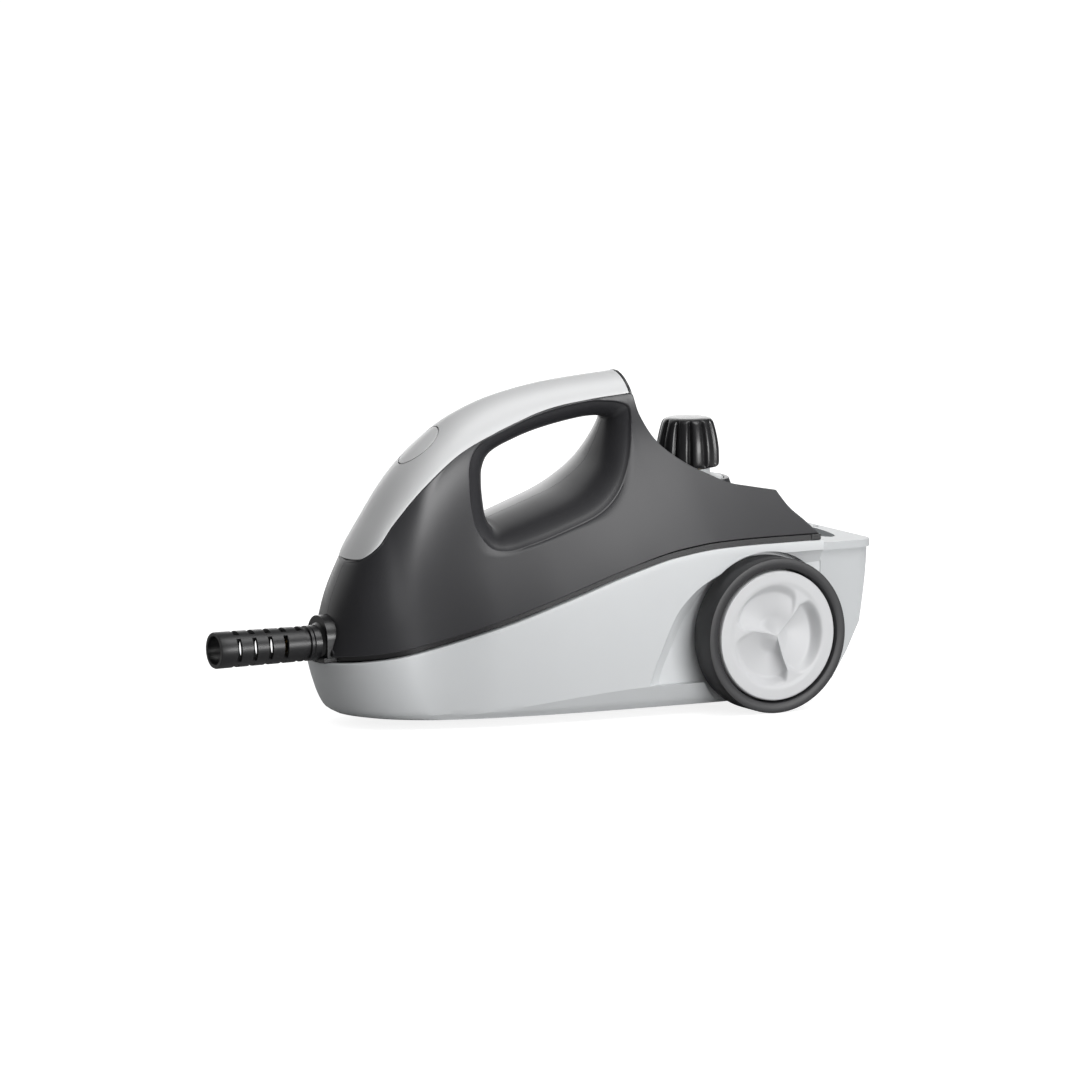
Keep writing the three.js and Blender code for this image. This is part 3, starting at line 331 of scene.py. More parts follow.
def soften(piece, angle=32, bevel=0.0, segments=2):
    """Smooth shading with crisp edges above an angle, and small rounded edges if asked."""
    piece.data.shade_smooth()
    piece.data.set_sharp_from_angle(angle=math.radians(angle))
    if bevel:
        edge = piece.modifiers.new("rounded edges", "BEVEL")
        edge.width = bevel * MM
        edge.segments = segments
        edge.limit_method = "ANGLE"
        edge.angle_limit = math.radians(38)
        edge.harden_normals = True
        edge.use_clamp_overlap = True
    return piece


def settle(piece, body, finish, slot, *nodes):
    """Gives a piece its finish and its place in the frame."""
    piece.data.materials.clear()
    piece.data.materials.append(finish)
    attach(piece, body)
    if nodes:
        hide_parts(*nodes)
    print(f"{piece.name}: {len(piece.data.polygons)} faces")
    return piece


print("cut, join, overlap, soften and settle are ready")

# %% [markdown]
# ## Finishes
# Moulded plastic is never quite even: the mould is spark eroded, which leaves a fine grain, and
# the gloss changes a little from place to place. Each finish below is a plain colour with a fine
# grain in the surface and a slow change in gloss, and both of them are made from noise.

# %% Make the finishes
def finish(name, colour, roughness, metal=0.0, grain=0.04, grain_size=900, drift=0.05, coat=0.0):
    material = bpy.data.materials.new(name)
    material.use_nodes = True
    nodes, links = material.node_tree.nodes, material.node_tree.links
    shader = nodes["Principled BSDF"]
    shader.inputs["Metallic"].default_value = metal
    shader.inputs["Coat Weight"].default_value = coat
    shader.inputs["Coat Roughness"].default_value = 0.25
    position = nodes.new("ShaderNodeTexCoord")
    fine = nodes.new("ShaderNodeTexNoise")
    fine.inputs["Scale"].default_value = grain_size
    fine.inputs["Detail"].default_value = 2
    slow = nodes.new("ShaderNodeTexNoise")
    slow.inputs["Scale"].default_value = 9
    slow.inputs["Detail"].default_value = 3
    for noise in (fine, slow):
        links.new(position.outputs["Object"], noise.inputs["Vector"])
    bump = nodes.new("ShaderNodeBump")
    bump.inputs["Strength"].default_value = grain
    bump.inputs["Distance"].default_value = 0.0002
    links.new(fine.outputs["Fac"], bump.inputs["Height"])
    links.new(bump.outputs["Normal"], shader.inputs["Normal"])
    gloss = nodes.new("ShaderNodeMapRange")
    gloss.inputs["To Min"].default_value = max(roughness - drift, 0.02)
    gloss.inputs["To Max"].default_value = min(roughness + drift, 1.0)
    links.new(slow.outputs["Fac"], gloss.inputs["Value"])
    links.new(gloss.outputs["Result"], shader.inputs["Roughness"])
    shade = nodes.new("ShaderNodeMixRGB")
    shade.inputs["Color1"].default_value = (*[c * 0.95 for c in colour], 1)
    shade.inputs["Color2"].default_value = (*[min(c * 1.05, 1) for c in colour], 1)
    links.new(slow.outputs["Fac"], shade.inputs["Fac"])
    links.new(shade.outputs["Color"], shader.inputs["Base Color"])
    material.diffuse_color = (*colour, 1)
    return material


charcoal = finish("charcoal moulding", (0.030, 0.030, 0.033), 0.34)
pale = finish("pale grey moulding", (0.60, 0.615, 0.625), 0.40)
# The tail is the same pale grey moulding as the base, made darker here to paint in the shade that
# falls on the tail.
pale_with_painted_shade = finish("pale grey with painted tail shade", (0.50, 0.515, 0.525), 0.40)
hub_grey = finish("hub grey moulding", (0.57, 0.575, 0.585), 0.42)
silver = finish("silver satin paint", (0.65, 0.655, 0.66), 0.40, grain=0.02)
button_silver = finish("silver button paint", (0.72, 0.725, 0.73), 0.40, grain=0.02)
black = finish("black moulding", (0.012, 0.012, 0.013), 0.30)
gloss_black = finish("polished black moulding", (0.014, 0.014, 0.015), 0.27, grain=0.01)
relief_rubber = finish("black rubber", (0.012, 0.012, 0.013), 0.36, grain=0.10)
tread_rubber = finish("tread rubber", (0.024, 0.024, 0.026), 0.46, grain=0.15)
cast = finish("cast aluminium", (0.52, 0.53, 0.54), 0.45, metal=1.0, grain=0.25, grain_size=500)
zinc = finish("zinc plated steel", (0.60, 0.61, 0.63), 0.28, metal=1.0, grain=0.02)
yellow_metal = finish("turned brass", (0.62, 0.45, 0.18), 0.28, metal=1.0, grain=0.02)
red_silicone = finish("red silicone", (0.45, 0.09, 0.05), 0.60)
blue_sleeve = finish("blue sleeve", (0.03, 0.12, 0.40), 0.45)
brown_sleeve = finish("brown sleeve", (0.17, 0.07, 0.03), 0.45)
print("made", len(bpy.data.materials), "finishes")

# %% [markdown]
# ## The upper shell
# The upper shell is moulded in two halves that meet on the middle plane, with the handle opening
# through both. From the outer edge the flank runs to a crisp crease round the opening. Inside the
# crease the surface rolls inwards like the inside of a ring, so the hand meets no edge. The skin
# is a hoop of rays, and each ray runs from the throat of the opening out to the edge of the shell.

# %% Lines of the upper shell
CREASE = [
    (-238.5, 212.4), (-229.9, 226.5), (-190, 243.5), (-145, 254.3), (-113.8, 257.2), (-87.4, 251.4),
    (-86.1, 243.6), (-92.8, 217.7), (-103.1, 198.7), (-117.4, 182.4), (-135.8, 169.8),
    (-168.1, 157.5), (-197.8, 147.9), (-219.9, 143), (-231.7, 145.7), (-240.3, 160),
    (-242, 178.6), (-240.5, 198.4),
]
THROAT = [
    (-217, 207), (-211, 217), (-183, 229.5), (-150, 238), (-112, 243), (-100, 241), (-101, 236),
    (-109, 219), (-117, 206), (-130, 195), (-145, 186), (-172, 176), (-196, 168), (-209, 163.5),
    (-214, 161), (-217.5, 168), (-218.5, 182), (-218.5, 197),
]
COVER_EDGE = [
    (-339.8, 137.5), (-337.4, 138.6), (-325, 149.4), (-311.4, 166.7), (-284, 196),
    (-249.4, 221.4), (-206.1, 239.2), (-163.5, 253.2), (-122.3, 259.2), (-85, 262.1),
]
RIDGE = [
    (-85, 262.1), (-82, 262), (-76.9, 243.9), (-66.7, 222.6), (-47.2, 205), (-29, 195),
    (-12.1, 187.3), (4.8, 183.7), (28.1, 179.5),
]
REAR_SLOPE = [(28.1, 179.5), (33.8, 166.1), (42.4, 155.9), (50.2, 145.3)]
LOWER_EDGE = []
for i in range(25):
    edge_y = 50.2 - 414.2 * i / 24
    LOWER_EDGE.append((edge_y, rim_rule(edge_y)[0] + SEAM + 0.3))
NOSE_EDGE = [LOWER_EDGE[-1]] + [
    (nose_rule(61 + 76.5 * i / 6)[0], 61 + 76.5 * i / 6) for i in range(1, 7)
]
PARTING_X = 0.15
crease_line = through(CREASE, closed=True)
throat_line = through(THROAT, closed=True)
cover_edge = along(COVER_EDGE)
ridge_edge = along(RIDGE)
# Each stretch of the outer edge: its line, its steps, and the crease points that it faces.
STRETCHES = [
    (cover_edge, 110, 16, 23), (ridge_edge, 60, 23, 26.5), (along(REAR_SLOPE), 16, 26.5, 28),
    (along(LOWER_EDGE), 90, 28, 32), (along(NOSE_EDGE), 30, 32, 34),
]
rays = []
for line, steps, first, last in STRETCHES:
    for i in range(steps):
        spot = (first + (last - first) * i / steps) % len(CREASE)
        rays.append((throat_line(spot), crease_line(spot), line(i / steps)))
print(len(rays), "rays run from the throat to the edge")

# %% [markdown]
# The edge of each half is rounded by nearly a millimetre and the crease by about one and a half.
# These small rounds are what catches the light as a thin line, so they are in the shape, not
# painted. The rows of each ray crowd towards the edge, because the nose turns fastest there.

# %% Build one half and mirror it
EDGE_ROUND, CREASE_ROUND, CREASE_CLEAR = 0.9, 1.5, 1.8
THINNEST, FLARE_EDGE = 0.3, 0.6
ROUND_TURNS = (0.4, 0.8, 1.2, 1.57)
FLARE_TURN = math.radians(72)
FLARE_ROWS = 14
FLANK_ROWS = 34


def edge_normals(points):
    normals = []
    for i in range(len(points)):
        way = (points[(i + 1) % len(points)] - points[i - 1]).normalized()
        normals.append(Vector((-way.y, way.x)))
    return normals


normals = edge_normals([ray[2] for ray in rays])


def shell_ray(ray, normal):
    throat, crease, edge = ray
    outward = (crease - throat).normalized()
    crease_x = flank(*crease)
    edge_round = EDGE_ROUND * ease(flank(*edge), 2, 14)
    points = [(PARTING_X, *throat)]
    for j in range(FLARE_ROWS + 1):
        turn = FLARE_TURN * j / FLARE_ROWS
        share = (1 - math.cos(turn)) / (1 - math.cos(FLARE_TURN))
        spot = throat.lerp(crease - outward * 0.4, share)
        across = (crease_x - CREASE_ROUND) * math.sin(turn) / math.sin(FLARE_TURN)
        points.append((max(across, FLARE_EDGE), *spot))
    for on, drop in ((0.0, 0.85), (0.5, 0.35), (1.1, 0.08)):
        points.append((crease_x - drop, *(crease + outward * on)))
    inner = edge - normal * edge_round
    start = crease + outward * CREASE_CLEAR
    for j in range(FLANK_ROWS + 1):
        spot = start.lerp(inner, 1 - (1 - j / FLANK_ROWS) ** 1.8)
        points.append((max(flank(*spot), THINNEST), *spot))
    top = points[-1][0]
    for turn in ROUND_TURNS:
        spot = inner + normal * edge_round * math.sin(turn)
        points.append((max(top - edge_round * (1 - math.cos(turn)), THINNEST), *spot))
    points.append((PARTING_X, *edge))
    return points


shell_rings = [shell_ray(ray, normal) for ray, normal in zip(rays, normals)]
half = loft("shell_left_skin", shell_rings, hoop=True)
print("one solid half of the shell has", len(half.data.polygons), "faces")

# %% [markdown]
# A real shell is a few millimetres thick, with room below for the boiler. The hollow follows the
# flank at a distance and its roof follows a ceiling line under the handle. The deck behind the
# handle sinks towards the middle, the cap stands in a round well, and the hose flange, the brass
# fitting and the button each get their own room.

# %% Hollow the shell and mirror it
ceiling = rule([
    (-352, 66), (-336, 120), (-318, 146), (-296, 172), (-272, 190), (-252, 184), (-243, 140),
    (-219, 134), (-196, 138), (-168, 147), (-136, 159), (-112, 172), (-96, 190), (-86, 214),
    (-80, 220), (-64, 198), (-48, 180), (-28, 172), (0, 170), (24, 167), (38, 150), (46, 141),
])


def hollow():
    rings = []
    for i in range(41):
        y = -350 + 396 * i / 40
        low = rim_rule(y)[0] - 4
        high = max(ceiling(y)[0], low + 12)
        heights = [low + (high - low) * j / 6 for j in range(7)]
        ring = [(max(flank(y - 9, z) - 3.5, -0.5), y, z) for z in heights]
        rings.append(ring + [(-4, y, z) for z in reversed(heights)])
    return loft("hollow", rings)


def ridge_height(y):
    low, high = 0.0, 1.0
    for _ in range(24):
        middle = (low + high) / 2
        low, high = (middle, high) if ridge_edge(middle).x < y else (low, middle)
    return ridge_edge(low).y


def valley():
    columns = []
    for i in range(41):
        y = -56 + 112 * i / 40
        edge = ridge_height(min(y, 28))
        wide = flank(min(y, 28), edge) - 3
        depth = 9 * clamp((y + 60) / 24)
        column = []
        for j in range(17):
            x = 1 + (wide - 1) * j / 16
            column.append((x, y, edge + 0.15 - depth * (1 - (x / wide) ** 2)))
        columns.append(column + [(wide, y, 300)])
    return loft("valley", both_sides(columns))


def flange_outline(grow):
    outline = [(-18.5 - grow, 59.4 - grow)]
    for i in range(48, -1, -1):
        angle = math.pi * i / 48
        outline.append(((18.5 + grow) * math.cos(angle), 74 + (18.5 + grow) * math.sin(angle)))
    return outline + [(18.5 + grow, 59.4 - grow)]


def flange_plate(name, grow, front, back):
    return loft(name, [[(x, y, z) for x, z in flange_outline(grow)] for y in (front, back)])


BUTTON_Y, BUTTON_Z, BUTTON_LEAN = -274.0, 228.6, math.pi / 4
BUTTON_ACROSS, BUTTON_ALONG = 14.0, 21.5


def button_prism(name, grow, low, high, sides=96):
    """An oval bar square to the sloping nose."""
    rings = []
    for at in (low, high):
        ring = []
        for c, s in circle(1, sides):
            x, along_slope = c * (BUTTON_ACROSS + grow), s * (BUTTON_ALONG + grow)
            y = BUTTON_Y + along_slope * math.cos(BUTTON_LEAN) - at * math.sin(BUTTON_LEAN)
            z = BUTTON_Z + along_slope * math.sin(BUTTON_LEAN) + at * math.cos(BUTTON_LEAN)
            ring.append((x, y, z))
        rings.append(ring)
    return loft(name, rings)


cut(
    half, hollow(), valley(), bar("well", "z", 34, 183, 260, (0, KNOB_Y), 96),
    bar("neck hole", "z", 16.5, 120, 260, (0, KNOB_Y), 64),
    flange_plate("flange room", 0.3, -400, -356.3), bar("fitting hole", "y", 7, -380, -300, (0, 70)),
    button_prism("button room", 3, -24, 20),
)
shell_left = soften(half, 30)
shell_right = copy_of(shell_left, "shell_right_skin", mirror=True)
soften(shell_right, 30)
settle(shell_left, "root", charcoal, "charcoal_shell", "shell_left")
settle(shell_right, "root", charcoal, "charcoal_shell", "shell_right")

# %% [markdown]
# ## The silver cover and its button
# The cover is a painted skin clipped over the nose and the top of the handle, and its lower edge
# follows the same line as the shell's upper edge. The power button is a piece of the same skin
# inside an oval gap, so it is cut from the same loft and stays flush.

# %% Build the cover and the button
cover_top = rule([
    (0, -341, 136.8), (0.05, -335, 148.5), (0.12, -325, 165.5), (0.25, -301, 201),
    (0.36, -274, 229), (0.48, -240, 252), (0.62, -200, 266.2), (0.78, -150, 275), (1, -90, 279.8),
])


def cover_section(share, inset, rows=18):
    top_y, top_z = cover_top(share)
    edge = cover_edge(0.012 + share * 0.988)
    edge_x = max(flank(*edge), 3.0)
    column = []
    for j in range(rows + 1):
        turn = math.pi / 2 * j / rows
        keep = 1 - math.sin(turn) ** 1.15
        y, z = top_y + (edge.x - top_y) * keep, top_z + (edge.y - top_z) * keep
        column.append((max(edge_x * math.cos(turn) - inset, 0.8), y, z))
    return column


def cover_body(name, inset, first, last, steps=90):
    shares = [first + (last - first) * i / steps for i in range(steps + 1)]
    return loft(name, both_sides([cover_section(s, inset) for s in shares]))


cover = cover_body("handle_cover_skin", 0.0, 0.004, 1.0)
button = overlap(copy_of(cover, "power_button_skin"), button_prism("button shape", 0, -7, 12))
inner = cover_body("inner", 2.8, 0.045, 0.985, 60)
inner.data.transform(Matrix.Translation(Vector((0, 1.25, -3.1)) * MM))
cut(cover, inner, button_prism("button hole", 1.15, -12, 20))
for skin in (cover, button):
    skin.data.transform(Matrix.Translation(Vector((0, -0.15, 0.3)) * MM))
settle(soften(cover, 34), "root", silver, "silver_cover", "handle_cover")
settle(soften(button, 34, bevel=0.35), "button_body", button_silver, "silver_cover", "power_button")

# %% [markdown]
# The cover ends at the rear of the handle in a thin dark rim. It hides the raw edge of the painted
# skin, and it is swept from the cover's own last section, so the two always fit.

# %% Build the dark rim behind the cover
rim_rings = []
for y_shift, grow in ((0.5, 0.0), (0.6, 0.5), (2.4, 0.5), (2.9, -0.2)):
    section = cover_section(1.0, -grow)
    rim_rings.append([(x, y + y_shift, z + grow * ease(z, 262, 280)) for x, y, z in section])
rim = loft("cover_end_rim", both_sides(rim_rings))
settle(soften(rim, 34), "root", charcoal, "charcoal_shell")

# %% [markdown]
# ## The seam strip
# A dark strip fills the joint between base and shell. It sits back in shadow at the nose, comes
# flush towards the rear, and ends in a small black block on each side. A bar behind the shell
# joins the two blocks, so that nothing drops into the joint from the tail deck.

# %% Build the strip
def strip_rings(inset_front, inset_rear, low, high, rear_y, steps=120):
    rings = []
    tip = keel_rule(54)[0] + inset_front
    for i in range(steps + 1):
        y = tip + (rear_y - tip) * (i / steps) ** 1.7
        rim_z, rim_width = rim_rule(y)
        inset = inset_front + (inset_rear - inset_front) * ease(y, -190, -70)
        x = max(rim_width * nose_rounding(y, tip, nose_radius(54)) - inset, 1.2)
        rings.append([(x, y, rim_z + low), (x, y, rim_z + high)])
    return rings


STRIP_LOW, STRIP_HIGH = 0.3, 5.1
strip = loft("seam_strip_skin", both_sides(strip_rings(6.5, 0.15, STRIP_LOW, STRIP_HIGH, 51)))
cut(
    strip, loft("inside", both_sides(strip_rings(9.0, 4.6, -6, 10, 60, 60))),
    flange_plate("flange room", 0.3, -400, -356.3),
)
settle(soften(strip, 30), "root", black, "black_plastic", "seam_strip")
for side, word in ((1, "left"), (-1, "right")):
    x = sorted((side * 99, side * 104.9))
    block = slab(f"strip_end_{word}", (x[0], 42, 140.2), (x[1], 51.4, 145.4))
    settle(soften(block, 30, bevel=0.7), "root", black, "black_plastic")
rear_bar = slab("strip_rear_bar", (-98.5, 46.5, 136.8), (98.5, 51.0, 145.7))
settle(soften(rear_bar, 30, bevel=0.7), "root", black, "black_plastic")

# %% [markdown]
# ## The base hull
# The base is one pale moulding. Its side has a low sill that leans in towards the floor, and a
# wheel arch whose wall slopes back behind the wheel. The arch is cut with a plug that narrows as
# it goes in and stops at the sill, so its lip stays crisp and the wall behind it gets its slope.

# %% Build the base
WELL_WALL_X, OUT_X = 90.0, 130
WALL = 2.8
ARCH = [
    (-109, 27), (-104.5, 42), (-97, 60), (-90.5, 75), (-82, 90), (-64, 107), (-45, 117),
    (-25, 126), (-4, 131), (12, 132), (30, 132.4), (62, 132.4),
]
CASTER_Y = -292.0
SILL_ROWS, SIDE_ROWS = 6, 22
SILL_LEAN, TUCK, CROWDING = 0.42, 0.06, 1.7
RIM_ROUND = 0.9
TYRE_ROOM = 68.5
CASE_SCREWS = ((58, -262), (-58, -262), (76, 30), (-76, 30))
BOILER_POSTS = ((0, -96), (40, 14), (-40, 14))


def sill_height(y):
    return 9.5 + 17.5 * ease(y, -330, -95)


def base_column(share):
    eased = share ** CROWDING
    column = []
    front = keel_rule(RIM_Z)[0]
    rough_y = front + (REAR_SEAM_Y - front) * eased
    top = rim_rule(rough_y)[0]
    sill = sill_height(rough_y)
    heights = [BASE_FLOOR_Z + (sill - BASE_FLOOR_Z) * j / SILL_ROWS for j in range(SILL_ROWS)]
    heights += [sill + (top - RIM_ROUND - sill) * j / SIDE_ROWS for j in range(SIDE_ROWS + 1)]
    for z in heights:
        tip = keel_rule(min(z, RIM_Z))[0]
        y = tip + (REAR_SEAM_Y - tip) * eased
        rim_z, rim_width = rim_rule(y)
        low = clamp((rim_z - z) / (rim_z - BASE_FLOOR_Z))
        tuck = TUCK * low * low
        x = rim_width * (1 - tuck) * nose_rounding(y, tip, nose_radius(RIM_Z))
        lean = SILL_LEAN * ease(y, -300, -210)
        x -= max(sill - z, 0) * lean + 2.5 * (1 - ease(z, BASE_FLOOR_Z, BASE_FLOOR_Z + 6))
        column.append((max(x, 1.5), y, z))
    x, y, _ = column[-1]
    for turn in ROUND_TURNS:
        rounded_x = max(x - RIM_ROUND * (1 - math.cos(turn)), 1.2)
        column.append((rounded_x, y, top - RIM_ROUND + RIM_ROUND * math.sin(turn)))
    return column


base = loft("base_shell_skin", both_sides([base_column(i / 150) for i in range(151)]))


print("the solid base has", len(base.data.polygons), "faces")

# %% [markdown]
# The inside is cut with a smaller hull of the same kind, so the wall keeps an even thickness. Near
# the wheels the inside stays behind the arch wall. The tyres get round rooms of their own.

# %% Hollow the base and cut the arches
def inner_columns():
    columns = []
    for i in range(31):
        eased = (i / 30) ** CROWDING
        column = []
        for j in range(7):
            z = 13 + 162 * j / 6 * (0.35 + 0.65 * eased)
            tip = keel_rule(min(z, RIM_Z))[0] + WALL
            y = tip + (60 - tip) * eased
            x = rim_rule(y)[1] * (1 - TUCK) * nose_rounding(y, tip, nose_radius(RIM_Z)) - WALL
            x -= max(sill_height(y) - z, 0) * SILL_LEAN * ease(y, -300, -210)
            if y > -125:
                x = min(x, WELL_WALL_X - WALL)
            column.append((max(x, 1.5), y, z))
        columns.append(column)
    return columns


def arch_plug(side):
    line = through(ARCH)
    fine = [tuple(line(i / 8)) for i in range(8 * (len(ARCH) - 1) + 1)]
    fine += [(62, -5), (-40, -5), (-40, 27)]
    centre = Vector((-10, 50))
    rings = []
    for x, shrink in ((WELL_WALL_X, 14.0), (93, 7.0), (96, 2.2), (98, 0.6), (101, 0.0), (OUT_X, 0.0)):
        ring = []
        for y, z in fine:
            inward = (centre - Vector((y, z))).normalized() * shrink
            wall = x + 8.3 * ease(y, -30, 30) * (OUT_X - x) / (OUT_X - WELL_WALL_X)
            ring.append((side * wall, y + inward.x if y < 40 else y, z + inward.y if z > 28 else z))
        rings.append(ring)
    return loft("arch plug", rings)


cut(
    base, loft("inside", both_sides(inner_columns())), arch_plug(1), arch_plug(-1),
    bar("tyre room left", "x", TYRE_ROOM, WELL_WALL_X, OUT_X, (0, AXLE_Z), 128),
    bar("tyre room right", "x", TYRE_ROOM, -OUT_X, -WELL_WALL_X, (0, AXLE_Z), 128),
)
print("the hollow base has", len(base.data.polygons), "faces")

# %% [markdown]
# Posts moulded with the base take the case screws and carry the boiler, and a round cup at the
# front holds the caster. The screws go in from below, so each post is bored through.

# %% Add the posts and bore them
join(base, bar("well cup", "z", 32, 8, 40.5, (0, CASTER_Y), 96))
for x, y in CASE_SCREWS:
    join(base, bar("post", "z", 5, 8.5, 60, (x, y), 32))
for x, y in BOILER_POSTS:
    join(base, bar("boiler post", "z", 8, 8.5, 71.7, (x, y), 32))
cut(
    base, bar("well", "z", 29.5, 0, 38, (0, CASTER_Y), 96),
    bar("socket hole", "z", 11.3, 0, 60, (0, CASTER_Y)),
    bar("axle hole", "x", 9.3, -OUT_X, OUT_X, (0, AXLE_Z)),
)
for x, y in CASE_SCREWS:
    cut(
        base, bar("screw head", "z", 3.4, 0, 26, (x, y), 32),
        bar("screw hole", "z", 2.0, 0, 70, (x, y), 24),
    )
settle(soften(base, 20), "root", pale, "pale_grey", "base_shell")

# %% [markdown]
# ## The tail housing
# Behind the wheels a separate moulding closes the machine. It has a rim band that stands proud of
# the wall below, a long oval tray for small tools and a small peg hole. All its outer edges are
# rounded by a bevel, which is the quickest way when a body has flat faces and clear edges.

# %% Build the tail
TAIL_SIDE = [
    (54.3, 14), (66, 22), (80, 44), (92, 68), (103.2, 130.6), (106, 131), (106, 137), (54.3, 137),
]


def tail_plan(half_width, rear, corner, front, rounds=12):
    outline = [(-half_width, front)]
    for side in (-1, 1):
        for i in range(rounds + 1):
            angle = math.pi / 2 * i / rounds
            turn = angle if side < 0 else math.pi / 2 - angle
            x = side * (half_width - corner + corner * math.cos(turn))
            outline.append((x, rear - corner + corner * math.sin(turn)))
    return outline + [(half_width, front)]


def upright(name, outline, low, high):
    return loft(name, [[(x, y, z) for x, y in outline] for z in (low, high)])


def across(name, outline, low, high):
    return loft(name, [[(x, y, z) for y, z in outline] for x in (low, high)])


def oval(half_x, half_y, centre_y, sides=120):
    return [(half_x * c, centre_y + half_y * s) for c, s in circle(1, sides)]


tail = across("tail_housing_skin", TAIL_SIDE, -120, 120)
plan = upright("wall plan", tail_plan(98.5, 105, 14, 50), 0, 131)
join(plan, upright("rim plan", tail_plan(102, 106, 15, 50), 130.8, 140))
overlap(tail, plan)
room_side = [(40, 17), (62.8, 26), (76.8, 48), (88.8, 65.2), (97.5, 120), (98, 121), (40, 121)]
room = across("room side", room_side, -120, 120)
overlap(room, upright("room plan", tail_plan(87.2, 102, 10, 30), 0, 160))
cut(
    tail, room, upright("tray", oval(74, 15, 80), 124, 150),
    bar("peg hole", "z", 2.6, 132, 150, (12, 100.5), 48),
    bar("gland hole", "y", 8.3, 60, 120, (-48, 82)),
    bar("tyre room left", "x", TYRE_ROOM + 0.5, WELL_WALL_X, OUT_X, (0, AXLE_Z), 128),
    bar("tyre room right", "x", TYRE_ROOM + 0.5, -OUT_X, -WELL_WALL_X, (0, AXLE_Z), 128),
)
# The tail's darker grey is painted shade on the base's pale moulding.
settle(soften(tail, 30, bevel=1.3, segments=3), "root", pale_with_painted_shade, "pale_grey", "tail_housing")

# %% [markdown]
# ## The hose relief
# Where the hose leaves, a rubber sleeve with staggered slots lets it bend without a kink. Notches
# run over the top and bottom at five stations. Long side slots let daylight through, and narrow
# bridges are left between slot and notch.

# %% Build the relief and its flange
RELIEF_Z = 70.0
SLOT_FIRST_Y, SLOT_PITCH, SLOT_WIDTH, NOTCH_WIDTH = -446.0, 14.4, 4.0, 5.0


def wedge(name, y, width, low_angle, high_angle, inner=9.0, outer=20.0, steps=12):
    """A cutter that takes an arc out of the wall of the sleeve."""
    rings = []
    for at in (y - width / 2, y + width / 2):
        ring = []
        for radius, angles in ((outer, range(steps + 1)), (inner, range(steps, -1, -1))):
            for i in angles:
                angle = math.radians(low_angle + (high_angle - low_angle) * i / steps)
                ring.append((radius * math.cos(angle), at, RELIEF_Z + radius * math.sin(angle)))
        rings.append(ring)
    return loft(name, rings)


relief = turned(
    "hose_relief_skin",
    [(-463, 12.2), (-462.6, 11.9), (-383, 11.9), (-383, 6.4), (-376.3, 6.4), (-376.3, 14.2),
     (-376.8, 14.6), (-379.2, 14.6), (-379.6, 12.8), (-383.4, 12.8), (-383.8, 14.6),
     (-440, 15.0), (-461.8, 15.2), (-463, 14.6)],
    "y", (0, RELIEF_Z), 96,
)
for i in range(5):
    y = SLOT_FIRST_Y + i * SLOT_PITCH
    cut(
        relief, wedge("top notch", y, NOTCH_WIDTH, 57, 123),
        wedge("bottom notch", y, NOTCH_WIDTH, -130, -50), wedge("right slot", y, SLOT_WIDTH, 138, 218),
    )
    if i < 4:
        cut(relief, wedge("left slot", y, SLOT_WIDTH, -38, 42))
settle(soften(relief, 34, bevel=0.3), "root", relief_rubber, "black_rubber", "hose_relief")

flange = flange_plate("hose_flange_skin", 0.0, -367.6, -356.6)
join(flange, turned("neck", [(-376, 6.4), (-376, 14.2), (-375.6, 14.6), (-370, 14.8), (-368, 16.5),
                             (-366, 16.5), (-366, 6.4)], "y", (0, RELIEF_Z), 96))
cut(flange, bar("bore", "y", 6.5, -400, -340, (0, RELIEF_Z)))
settle(soften(flange, 34, bevel=0.6), "root", black, "black_plastic", "hose_flange")
foot = slab("flange_foot", (-17.5, -370.4, 55.0), (17.5, -357.0, 59.0))
settle(soften(foot, 34, bevel=0.5), "root", black, "black_plastic")

# %% [markdown]
# ## The rear wheels
# A wheel shows three things: a soft black tyre with a broad dark face, a fine dark groove, and a
# pale cap with three scooped pockets that swirl round the middle. Each pocket falls steeply just
# past one ridge and rises slowly to the next. The cap is a round net of points whose height comes
# from that rule, so the ridges stay crisp where two pockets meet.

# %% Build the wheels
CAP_RADIUS, CAP_FACE, POCKET_DEPTH = 53.6, 121.6, 9.0
CAP_SIDES, SWIRL = 216, 9.0


def cap_height(radius, angle):
    """Distance of the cap's face from the middle plane; angle is from the rear upwards."""
    flat = CAP_FACE if radius > 46 else CAP_FACE - 0.5 * ease(46 - radius, 0, 5)
    share = ((168.0 - angle) % 120.0) / 120.0
    across_pocket = math.sin(math.pi * share ** 0.55) ** 0.9
    reach = 43.5 - 5.0 * (2 * share - 0.9) ** 4
    reach -= 9.0 * ease(share, 0.86, 1.0) + 6 * ease(0.08 - share, 0, 0.08)
    rim_side = ease((reach - radius) / 8.0)
    centre_side = ease(radius, 0, 16)
    return flat - POCKET_DEPTH * across_pocket * rim_side * centre_side


def hub_cap(name):
    rings = []
    faces = [(109.3, 46.0), (112.0, 46.0), (112.0, 54.4), (120.4, 54.4), (121.2, 54.0)]
    for at, radius in faces:
        rings.append([(at, radius * c, AXLE_Z + radius * s) for c, s in circle(1, CAP_SIDES)])
    for i in range(61):
        radius = CAP_RADIUS * (1 - i / 61) ** 0.92
        ring = []
        for k in range(CAP_SIDES):
            angle = 48.0 + 360.0 * k / CAP_SIDES
            turn = math.radians(angle + SWIRL * (radius / CAP_RADIUS - 0.5))
            height = cap_height(radius, angle)
            ring.append((height, radius * math.cos(turn), AXLE_Z + radius * math.sin(turn)))
        rings.append(ring)
    return loft(name, rings)


